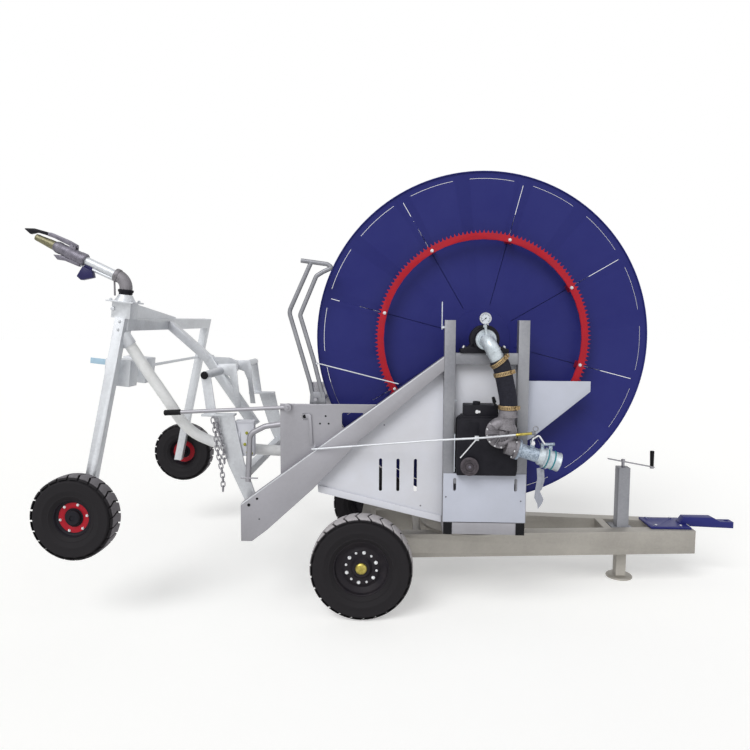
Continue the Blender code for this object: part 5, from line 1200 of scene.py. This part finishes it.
def makeSidePlate(side, sign):
    y = sidePlate["y"] if sign < 0 else (-sidePlate["y"][1], -sidePlate["y"][0])
    outline = ((-0.467, 0.690), (-0.100, 1.000), (0.170, 1.22815), (0.110, 1.235), (-0.467, 1.235))
    bm = bmesh.new()
    addPlate(bm, sideView(outline), y[0], y[1], 0.001)
    cuts = bmesh.new()
    x, z, halfWidth, halfHeight = sidePlate["window"]
    addPlate(cuts, roundedSlot(x + axleX, z, halfWidth, halfHeight, 0.012), y[0] - 0.02, y[1] + 0.02, 0.0)
    holes = [(*sidePlate["screw"], 0.0206)] + [(*hole, 0.0045) for hole in sidePlate["holes"]]
    if sign < 0:
        lug = ((-0.322, 1.215), (-0.240, 1.215), (-0.245, 1.300), (-0.246, 1.470), (-0.262, 1.475))
        addPlate(bm, sideView(lug), y[0] + 0.0002, y[1] - 0.0002, 0.001)
        holes += [(*pair, 0.0085) for pair in sidePlate["pivots"]]
    for x, z, radius in holes:
        addPin(cuts, x, z, y[0] - 0.02, y[1] + 0.02, radius, sides=32)
    piece = finishOn(f"side_plate_{side}", f"side_plate_sheet_{side}", bm, "galvanised", True)
    carve(piece, cuts)
    trim = bmesh.new()
    inner = sorted((sign * 0.6620, sign * 0.6370))
    addBox(trim, spot(-0.4672, inner[0], 0.700), spot(-0.4642, inner[1], 1.234), 0.0008)
    finishOn(f"side_plate_{side}", f"side_plate_fold_{side}", trim, "galvanised")


def makeGrabHandle():
    middle = (sidePlate["y"][0] + sidePlate["y"][1]) / 2 + 0.016
    path = bendPath([spot(-0.447, middle, 1.118), spot(-0.560, middle, 1.100), spot(-0.646, middle, 1.055),
        spot(-0.660, middle, 0.778)], 0.050, 14)
    bm = bmesh.new()
    addTube(bm, path, sidePlate["handleR"], 32)
    addRod(bm, spot(-0.700, middle - 0.012, 0.800), spot(-0.600, middle - 0.012, 0.800), 0.0045, sides=14)
    finishOn("side_plate_near", "grab_handle", bm, "galvanised")
    # flat stay under the screw's end, and the thin rod that ties the lever lug to the beam
    stay = bmesh.new()
    addPlate(stay, sideView(((-0.322, 1.176), (-0.300, 1.180), (-0.288, 1.172), (-0.279, 1.004),
        (-0.300, 1.002), (-0.304, 1.150), (-0.318, 1.158))), -0.674, -0.6667, 0.0015)
    addPin(stay, -0.294, 1.030, -0.6622, -0.6675, 0.006, sides=20)
    tie = bmesh.new()
    addTube(tie, [spot(-0.2565, -0.656, 1.464), spot(-0.240, -0.6530, 1.462), spot(0.205, -0.6530, 1.352)],
        0.0034, 14)
    addPin(tie, -0.2565, 1.464, -0.668, -0.6500, 0.006, sides=18, edge=0.001)
    finishOn("side_plate_near", "lever_lug_tie", tie, "galvanisedPaintedLight")
    finishOn("side_plate_near", "side_plate_stays", stay, "galvanised")
    tip = bmesh.new()
    addPin(tip, -0.328, 1.162, -0.6567, -0.6590, 0.011, sides=28, edge=0.0008)
    finishOn("side_plate_near", "screw_end_cap", tip, "blackCap")


frameTrim = {"postBolts": ((0.5165, 1.266, 1), (0.5165, 1.045, 1), (0.5165, 0.885, 1), (0.8595, 1.276, -1)),
    "postY": -0.695, "capX": (0.486, 0.890), "capY": (0.7172, 0.7205), "foldY": (0.7168, 0.7176),
    "holeY": (0.7165, 0.7180), "plugY": (-0.6615, -0.6632),
    "holes": ((-0.640, 0.660, 0.009), (-0.592, 0.697, 0.007), (-0.581, 0.579, 0.0035)),
    "foldLine": ((-0.684, 0.6663), (0.452, 1.5092), (0.452, 1.5012), (-0.684, 0.6583))}


def makeFrameTrim():
    bolts = bmesh.new()
    for x, z, way in frameTrim["postBolts"]:
        place, out = spot(x, frameTrim["postY"], z), Vector((way, 0, 0))
        addRod(bolts, place - out * 0.001, place + out * 0.010, 0.006, sides=20, edge=0.001)
        addBolt(bolts, place, out, 0.007, 0.006)
    addBox(bolts, spot(0.5162, -0.7200, 0.868), spot(0.5215, -0.7000, 1.082), 0.001)
    # white flat lever at the top of the left post, with its clip
    addBox(bolts, spot(0.4385, -0.712, 1.660), spot(0.4435, -0.698, 1.812), 0.0015)
    addRod(bolts, spot(0.4375, -0.705, 1.672), spot(0.4565, -0.705, 1.672), 0.007, sides=20, edge=0.001)
    finishOn("post_frame_near", "post_bolts_and_lever", bolts, "dialEnamel")
    caps = bmesh.new()
    for x in frameTrim["capX"]:
        for _, sign in sides:
            y = sorted(sign * depth for depth in frameTrim["capY"])
            addBox(caps, spot(x - 0.0245, y[0], 0.5115), spot(x + 0.0245, y[1], 0.5805), 0.0012)
    finishOn("base_frame", "base_tube_caps", caps, "blackCap")
    # a thin paler strip along each beam's top fold: painted highlight
    foldHighlight = bmesh.new()
    for _, sign in sides:
        y = sorted(sign * depth for depth in frameTrim["foldY"])
        addPlate(foldHighlight, sideView(frameTrim["foldLine"]), y[0], y[1], 0.0)
    finishOn("beam_near", "beam_fold_highlight", foldHighlight, "galvanisedPaintedLight")
    # black discs over the beams' holes stand for their dark inside: painted shade
    pins = bmesh.new()
    for _, sign in sides:
        for x, z, radius in frameTrim["holes"]:
            addPin(pins, x, z, *[sign * depth for depth in frameTrim["holeY"]], radius, sides=24)
    finishOn("beam_near", "beam_holes_painted_shade", pins, "blackCap")
    plugs = bmesh.new()
    for x, z in sidePlate["holes"]:
        addPin(plugs, x, z, *frameTrim["plugY"], 0.0055, sides=20)
    finishOn("side_plate_near", "side_plate_plugs", plugs, "blackCap")


control = {"y": -0.897, "r": 0.0055, "coils": 6, "coilSteps": 60, "coilR": 0.008, "coilStart": 0.905,
    "coilLength": 0.020, "coilZ": 1.1225, "hook": (0.925, 1.146), "hookR": 0.013}


def makeControlRod():
    y = control["y"]
    bm = bmesh.new()
    path = bendPath([spot(-0.278, -0.730, 0.988), spot(0.430, -0.830, 1.068), spot(0.640, y, 1.094),
        spot(0.915, y, 1.122)], 0.15, 12)
    addTube(bm, path, control["r"], 20)
    addPin(bm, -0.268, 0.990, -0.734, -0.6570, 0.0065, sides=20)
    addBolt(bm, spot(-0.268, -0.735, 0.990), (0, -1, 0), 0.006)
    finishOn("control_rod", "control_rod_wire", bm, "galvanisedPaintedLight", True)
    sleeve = bmesh.new()
    addRod(sleeve, spot(0.822, y, 1.1127), spot(0.905, y, 1.1213), 0.0075, sides=24, edge=0.001)
    finishOn("control_rod", "control_rod_sleeve", sleeve, "yellowZinc")
    # a few coils of the return spring and the two hooked ends past the sleeve
    spring = bmesh.new()
    coil = []
    for step in range(control["coilSteps"] + 1):
        share = step / control["coilSteps"]
        centre = spot(control["coilStart"] + control["coilLength"] * share, y, control["coilZ"])
        angle = tau * control["coils"] * share
        coil.append(centre + control["coilR"] * Vector((0, sin(angle), cos(angle))))
    addTube(spring, coil, 0.0016, 8)
    hookX, hookZ = control["hook"]
    loop = [placeRound(spot(hookX, y, hookZ), radians(180 - a), control["hookR"])
        for a in range(0, 361, 20)]
    addTube(spring, [spot(0.915, y, 1.100)] + loop, 0.003, 12)
    # the spring in the darker zinc: painted shade
    finishOn("control_rod", "control_rod_spring", spring, "shadedGalvanised")


for side, sign in sides:
    makeBearing(side, sign)
    makeSidePlate(side, sign)
makeSheets()
makeGrabHandle()
makeFrameTrim()
makeControlRod()
print("reel frame made")


# Levers

levers = {"tubeR": 0.0125, "clutch": (-0.262, -0.633, 1.262), "stop": (-0.420, -0.675, 1.215),
    "gripR": 0.0165}


def makeLevers():
    x, y, z = levers["clutch"]
    bm = bmesh.new()
    long = [(-0.290, 2.034), (-0.417, 1.754), (-0.298, 1.349), (x - 0.020, z)]
    hooked = [(-0.348, 2.041), (-0.200, 2.021), (-0.172, 2.002), (-0.225, 1.978), (-0.262, 1.955),
        (-0.355, 1.736), (-0.275, 1.470), (x + 0.036, z + 0.010)]
    addTube(bm, bendPath([spot(a, y, b) for a, b in long], 0.06, 10), levers["tubeR"], 24)
    addTube(bm, bendPath([spot(a, y, b) for a, b in hooked], 0.03, 8), levers["tubeR"], 24)
    addPlate(bm, sideView(((x - 0.040, z - 0.030), (x + 0.055, z - 0.030), (x + 0.045, z + 0.040),
        (x - 0.035, z + 0.040))), y - 0.010, y + 0.010, 0.003)
    addPin(bm, x, z, y, -0.6607, 0.0080, sides=24)
    addBolt(bm, spot(x, y + 0.010, z), (0, 1, 0), 0.010, 0.002)
    # the lever's tubes in the darker zinc: painted shade
    finishOn("clutch_lever", "clutch_lever_tubes", bm, "shadedGalvanised", True)
    mouth = bmesh.new()
    end, inner = [spot(a, y, b) for a, b in hooked[:2]]
    way = (end - inner).normalized()
    addRod(mouth, end - way * 0.001, end + way * 0.0006, 0.0095, sides=24)
    finishOn("clutch_lever", "clutch_lever_end", mouth, "blackCap")
    x, y, z = levers["stop"]
    bar = bmesh.new()
    addRod(bar, spot(x + 0.020, y, z + 0.002), spot(x - 0.630, y, z - 0.034), 0.01125, sides=28)
    addPin(bar, x, z, y - 0.014, -0.6570, 0.022, sides=36, edge=0.002)
    addPin(bar, x, z, y, -0.6467, 0.0080, sides=24)
    addBolt(bar, spot(x, y - 0.014, z), (0, -1, 0), 0.010, 0.003)
    finishOn("stop_lever", "stop_lever_bar", bar, "galvanised", True)
    grip = bmesh.new()
    start, end = spot(x - 0.615, y, z - 0.033), spot(x - 0.710, y, z - 0.038)
    r, length = levers["gripR"], (end - start).length
    profile = [(0.0, 0.0), (r - 0.002, 0.0), (r, 0.003)]
    for step in range(9):
        reach = 0.010 + (length - 0.020) * step / 9
        profile += [(r, reach), (r - 0.0012, reach + 0.003), (r, reach + 0.006)]
    profile += [(r, length - 0.004), (r - 0.004, length), (0.0, length)]
    addLathe(grip, profile, start, end - start, 32)
    finishOn("stop_lever", "stop_lever_grip", grip, "blackCap")


makeLevers()
print("levers made")


# Lift frame and sprinkler cart

lift = {"tube": (-0.905, 1.390), "tubeR": 0.024, "tubeHalf": 0.640,
    "box": ((-0.738, -0.596, 0.915), (-0.634, -0.548, 1.124)), "chainY": -0.626, "linkLength": 0.036,
    "linkWidth": 0.024, "linkPitch": 0.027, "wire": 0.0036,
    "strands": ((((-0.866, 1.140), (-0.852, 1.060), (-0.842, 0.960), (-0.822, 0.860), (-0.812, 0.790),
    (-0.812, 0.715)), 0.0), (((-0.842, 1.140), (-0.828, 1.050), (-0.806, 0.960), (-0.800, 0.880)), -0.004)),
    "knobs": ((-0.676, 1.052), (-0.668, 1.010), (-0.688, 0.985), (-0.659, 0.962), (-0.672, 0.938),
    (-0.651, 0.932))}
cart = {"axle": spot(-1.556, 0.0, 0.630), "tilt": Matrix.Rotation(radians(6.0), 3, "Y"), "gunY": -0.750,
    "top": (0.125, 1.105), "tieZ": 0.800, "plateZ": 1.196}
gun = {"bendR": 0.070, "bendZ": 1.264, "rise": radians(19), "pipeR": 0.034, "swivelZ": 1.232}


def onCart(x, y, z):
    return cart["axle"] + cart["tilt"] @ Vector((x, y, z))


def makeLiftFrame():
    tx, tz = lift["tube"]
    half, r = lift["tubeHalf"], lift["tubeR"]
    tube = bmesh.new()
    addPin(tube, tx, tz, -half, half, r + 0.0002, sides=40, edge=0.001)
    # the lift frame in the paler zinc: painted light
    refineNode("lift_frame", 0.0012, "galvanisedPaintedLight", tube)
    caps = bmesh.new()
    for sign in (-1, 1):
        addLathe(caps, [(0.0, 0.0), (r - 0.0025, 0.0), (r - 0.0025, 0.0022), (r - 0.006, 0.003),
            (r - 0.008, 0.0015), (0.008, 0.0015), (0.006, 0.0035), (0.0, 0.0035)],
            spot(tx, sign * half, tz), (0, sign, 0), 36)
    finishOn("lift_frame", "lift_tube_caps", caps, "blackCap")
    low, high = lift["box"]
    box = bmesh.new()
    addBox(box, spot(*low), spot(high[0], high[1], high[2] - 0.012), 0.003)
    addBox(box, spot(low[0] - 0.004, low[1] - 0.004, high[2] - 0.014),
        spot(high[0] + 0.004, high[1] + 0.004, high[2]), 0.003)
    addBox(box, spot(-0.732, -0.6005, 1.010), spot(-0.712, -0.5955, 1.060), 0.001)
    finishOn("lift_frame", "control_box", box, "whitePowder")
    knobs = bmesh.new()
    for x, z in lift["knobs"]:
        addPin(knobs, x, z, low[1] + 0.001, low[1] - 0.007, 0.0095, 0.008, 20, 0.0012)
    finishOn("lift_frame", "control_box_knobs", knobs, "yellowGreenKnob")


def addLink(bm, centre, along, normal):
    along, normal = Vector(along).normalized(), Vector(normal)
    normal = (normal - along * normal.dot(along)).normalized()
    long, wide = lift["linkLength"] / 2, lift["linkWidth"] / 2
    straight = long - wide
    ring = []
    for step in range(13):
        angle = tau * step / 12
        push = straight if cos(angle) > 0.01 else -straight if cos(angle) < -0.01 else 0.0
        ring.append(centre + along * (wide * cos(angle) + push) + normal * wide * sin(angle))
    addTube(bm, ring, lift["wire"], 6)


def makeChain():
    # from the shelf down the outside of the leg, its loose end hanging free
    y = lift["chainY"]
    bm = bmesh.new()
    for strand, shift in lift["strands"]:
        line = smoothPath([spot(x, y + shift, z) for x, z in strand], lift["linkPitch"])
        for step, (a, b) in enumerate(zip(line, line[1:])):
            addLink(bm, (a + b) / 2, b - a, (0, 1, 0) if step % 2 else (1, 0, 0))
    addPin(bm, -0.868, 1.145, y + 0.012, y - 0.008, 0.005, sides=16, edge=0.0008)
    finishOn("lift_frame", "lift_chain", bm, "galvanised")


def makeCartFrame():
    extra = bmesh.new()
    topX, topZ = cart["top"]
    gunY = cart["gunY"]
    # pipe connector, smooth over the facets, and the cone under the swivel
    end = spot(*pipe["route"][-1])
    before = spot(*pipe["route"][-2])
    heading = (end - before).normalized()
    addRod(extra, end + heading * 0.0005, end + heading * 0.077, pipe["radius"] + 0.0064, sides=40,
        edge=0.002)
    up = cart["tilt"] @ Vector((0, 0, 1))
    addRod(extra, onCart(topX, gunY, cart["plateZ"]), onCart(topX, gunY, 1.2310), 0.0565, 0.0366, 48)
    for x, y in ((-0.055, -0.055), (0.055, -0.055), (-0.055, 0.055), (0.055, 0.055)):
        addBolt(extra, onCart(topX + x, gunY + y, cart["plateZ"]), up, 0.009, 0.003)
    for sign in (-1, 1):
        addRod(extra, onCart(0, sign * 0.765, 0), onCart(0, sign * 0.9006, 0), 0.0152, sides=32)
        for z in (1.040, 1.085):
            addBolt(extra, onCart(topX * z / topZ, sign * 0.800, z), (0, sign, 0), 0.008, 0.002)
    addRod(extra, onCart(topX - 0.045, -0.7955, 1.150), onCart(topX - 0.045, -0.8010, 1.150), 0.011,
        sides=24, edge=0.001)
    # the cart frame in the paler zinc: painted light
    refineNode("cart_frame", 0.0015, "galvanisedPaintedLight", extra)
    blue = bmesh.new()
    tieX = cart["tieZ"] * topX / topZ
    low, high = (tieX - 0.3206, -0.3706, cart["tieZ"] - 0.0126), (tieX - 0.0745, -0.3614,
        cart["tieZ"] + 0.0226)
    addBox(blue, low, high, 0.0015)
    bmesh.ops.transform(blue, matrix=Matrix.Translation(cart["axle"]) @ cart["tilt"].to_4x4(),
        verts=blue.verts)
    finishOn("weight_box_far", "light_blue_bar", blue, "lightBlueEnamel")


def gunPoint(distance, height, y=0.0):
    turn = pi / 2 - gun["rise"]
    along = Vector((-cos(gun["rise"]), 0, sin(gun["rise"])))
    up = Vector((sin(gun["rise"]), 0, cos(gun["rise"])))
    end = Vector((cart["top"][0] - gun["bendR"] * (1 - cos(turn)), cart["gunY"],
        gun["bendZ"] + gun["bendR"] * sin(turn)))
    return onCart(*(end + along * distance + up * height + Vector((0, y, 0))))


def addGunPlate(bm, shape, low, high, edge=0.001):
    points = [gunPoint(distance, height) for distance, height in shape]
    addPlateAt(bm, points, cart["gunY"] + low, cart["gunY"] + high, edge)


def makeGunElbow():
    x, z = cart["top"][0], gun["bendZ"]
    turn = pi / 2 - gun["rise"]
    path = [onCart(x, cart["gunY"], gun["swivelZ"] + 0.004)]
    for step in range(17):
        angle = turn * step / 16
        path.append(onCart(x - gun["bendR"] * (1 - cos(angle)), cart["gunY"],
            z + gun["bendR"] * sin(angle)))
    path.append(gunPoint(0.018, 0.0))
    bm = bmesh.new()
    addTube(bm, path, gun["pipeR"], 44)
    way = gunPoint(1.0, 0.0) - gunPoint(0.0, 0.0)
    addLathe(bm, [(0.030, -0.012), (0.036, -0.011), (0.0375, -0.006), (0.0375, 0.008), (0.036, 0.012),
        (0.024, 0.013)], gunPoint(0.005, 0.0), way, 44, ring=True)
    pinTop = gunPoint(0.012, -0.030)
    addRod(bm, pinTop, pinTop - Vector((0, 0, 0.085)), 0.005, sides=20)
    finishOn("gun_elbow", "gun_elbow_casting", bm, "castAluminium", True)
    swivel = bmesh.new()
    up = cart["tilt"] @ Vector((0, 0, 1))
    addLathe(swivel, [(0.0, 0.0), (0.034, 0.0), (0.036, 0.003), (0.036, 0.012), (0.040, 0.014),
        (0.041, 0.018), (0.041, 0.026), (0.039, 0.028), (0.0, 0.028)],
        onCart(x, cart["gunY"], gun["swivelZ"]), up, 44)
    finishOn("gun_elbow", "gun_swivel", swivel, "blackCasting")


def makeGunBarrel():
    tube = bmesh.new()
    addRod(tube, gunPoint(0.0183, 0.0), gunPoint(0.212, 0.0), 0.0225, sides=40)
    addRod(tube, gunPoint(0.0183, -0.028), gunPoint(0.220, -0.030), 0.0102, sides=24)
    finishOn("gun_barrel", "gun_barrel_tube", tube, "galvanisedPaintedLight", True)
    bm = bmesh.new()
    start, way = gunPoint(0.195, 0.0), gunPoint(1.0, 0.0) - gunPoint(0.0, 0.0)
    addLathe(bm, [(0.020, 0.0), (0.032, 0.001), (0.0355, 0.006), (0.0355, 0.034), (0.033, 0.038),
        (0.033, 0.090), (0.0345, 0.094), (0.0345, 0.112), (0.0315, 0.118), (0.0305, 0.150), (0.0325, 0.154),
        (0.0325, 0.172), (0.0300, 0.180), (0.026, 0.190), (0.020, 0.191)], start, way, 48, ring=True)
    for low, high in ((-0.020, -0.012), (0.012, 0.020)):
        addGunPlate(bm, ((0.262, 0.020), (0.308, 0.020), (0.297, 0.052), (0.273, 0.052)), low, high)
    addGunPlate(bm, ((0.215, -0.028), (0.330, -0.030), (0.372, -0.046), (0.340, -0.062), (0.300, -0.050),
        (0.215, -0.046)), -0.014, 0.014, 0.003)
    addRod(bm, gunPoint(0.285, 0.047, -0.024), gunPoint(0.285, 0.047, -0.019), 0.006, sides=20)
    finishOn("gun_barrel", "gun_housing", bm, "greyAlloy")
    nozzle = bmesh.new()
    addLathe(nozzle, [(0.012, 0.0), (0.026, 0.0), (0.0255, 0.020), (0.0245, 0.040), (0.0195, 0.100),
        (0.0195, 0.112), (0.0175, 0.124), (0.0100, 0.125), (0.0100, 0.070)], gunPoint(0.375, 0.0), way, 40,
        ring=True)
    finishOn("gun_barrel", "gun_nozzle", nozzle, "oliveBrass")
    weight = bmesh.new()
    addGunPlate(weight, ((0.118, -0.066), (0.175, -0.108), (0.205, -0.098), (0.196, -0.034),
        (0.140, -0.034)), -0.020, 0.020, 0.004)
    addGunPlate(weight, ((0.142, -0.040), (0.192, -0.040), (0.190, -0.008), (0.146, -0.008)), -0.012, 0.012,
        0.002)
    finishOn("gun_barrel", "gun_weight", weight, "navyEnamel")


def makeGunArm():
    bm = bmesh.new()
    addGunPlate(bm, ((0.270, 0.0425), (0.300, 0.036), (0.400, 0.038), (0.440, 0.034), (0.444, 0.052),
        (0.430, 0.058), (0.320, 0.062), (0.270, 0.058)), -0.0110, 0.0110, 0.002)
    addRod(bm, gunPoint(0.285, 0.047, -0.0115), gunPoint(0.285, 0.047, 0.0115), 0.009, sides=24)
    finishOn("gun_drive_arm", "gun_arm", bm, "greyAlloy", True)
    spoon = bmesh.new()
    addGunPlate(spoon, ((0.436, 0.036), (0.500, 0.026), (0.532, 0.002), (0.572, 0.014), (0.570, 0.019),
        (0.522, 0.040), (0.438, 0.054)), -0.0105, 0.0105, 0.0015)
    finishOn("gun_drive_arm", "gun_spoon", spoon, "blackCasting")


makeLiftFrame()
makeChain()
makeCartFrame()
makeGunElbow()
makeGunBarrel()
makeGunArm()
print("lift frame and cart made")


# Drawbar, hitch and jack

jack = {"x": 1.6975, "shaftTop": 0.790, "reach": 0.205, "tail": 0.100, "drop": 0.042}


def makeJackCrank():
    x, top = jack["x"], jack["shaftTop"]
    bm = bmesh.new()
    addRod(bm, spot(x, 0, 0.280), spot(x, 0, 0.726), 0.0120, sides=24)
    addRod(bm, spot(x, 0, 0.720), spot(x, 0, top + 0.008), 0.0100, sides=28)
    addRod(bm, spot(x, 0, top - 0.012), spot(x, 0, top + 0.010), 0.0125, sides=28, edge=0.001)
    a, b = (x - jack["tail"], top + 0.012), (x + jack["reach"], top - jack["drop"])
    addPlate(bm, sideView(((a[0], a[1] - 0.0035), (b[0], b[1] - 0.0035), (b[0], b[1] + 0.0035),
        (a[0], a[1] + 0.0035))), -0.0110, 0.0110, 0.001)
    gripX, gripZ = x + jack["reach"] - 0.016, top - jack["drop"]
    addRod(bm, spot(gripX, 0, gripZ - 0.008), spot(gripX, 0, gripZ + 0.008), 0.013, sides=28, edge=0.001)
    finishPiece("jack_crank_arm", bm, bodies["jack_crank"], "galvanised", ["jack_crank"])
    grip = bmesh.new()
    addLathe(grip, [(0.0, 0.0), (0.011, 0.0), (0.012, 0.003), (0.0125, 0.040), (0.0140, 0.098),
        (0.0130, 0.101), (0.0, 0.102)], spot(gripX, 0, gripZ + 0.008), (-0.018, 0, 1.0), 32)
    finishPiece("jack_crank_grip", grip, bodies["jack_crank"], "blackCap")


# smooth rims over the facets of the turntable's two rings: node, look, height, profile
ringX = 0.688
rings = (("chassis_frame", "dullGalvanised", 0.361, ((0.268, 0.002), (0.3302, 0.002), (0.3302, 0.015),
    (0.3152, 0.025), (0.3152, 0.0687), (0.268, 0.0687))),
    ("base_frame", "galvanised", 0.4304, ((0.268, 0.0), (0.3362, 0.0), (0.3362, 0.020), (0.3202, 0.030),
    (0.3202, 0.0830), (0.268, 0.0830))))


def makeRings():
    for node, look, z, profile in rings:
        rim = bmesh.new()
        addLathe(rim, profile, spot(ringX, 0.0, z), (0, 0, 1), 96, ring=True)
        refineNode(node, 0.0015, look, rim)


def makeHitchBolts():
    bm = bmesh.new()
    for x in (1.895, 2.055):
        for y in (-0.085, 0.085):
            addBolt(bm, spot(x, y, 0.3763), (0, 0, 1), 0.0105, 0.002)
    finishOn("hitch_plate", "hitch_bolts", bm, "brightZinc")


makeJackCrank()
makeRings()
makeHitchBolts()
# the jack tube in the darker zinc: painted shade
refineNode("jack_tube", 0.0015, "shadedGalvanised")
refineNode("jack_leg", 0.0015, "dullGalvanised")
print("drawbar and jack made")


# Other members keep their CAD shapes, with rounded edges and a finish
# the right sheet in the darker white powder: painted shade
refineNode("panel_right", 0.0008, "whitePowderPaintedShade")
# the posts in the darker zinc: painted shade
for node in ("post_frame_near", "post_frame_far"):
    refineNode(node, 0.0012, "shadedGalvanised")
for node in ("hitch_plate", "tow_bar", "beam_near", "beam_far", "panel_middle", "guide_bar", "rear_tie",
        "drive_pinion", "reversing_screw", "guide_carriage"):
    refineNode(node, 0.0012)
# the cart's drawbar and weight boxes in the paler zinc: painted light
for node in ("cart_drawbar", "weight_box_near", "weight_box_far"):
    refineNode(node, 0.0015, "galvanisedPaintedLight")
print("frame members made")
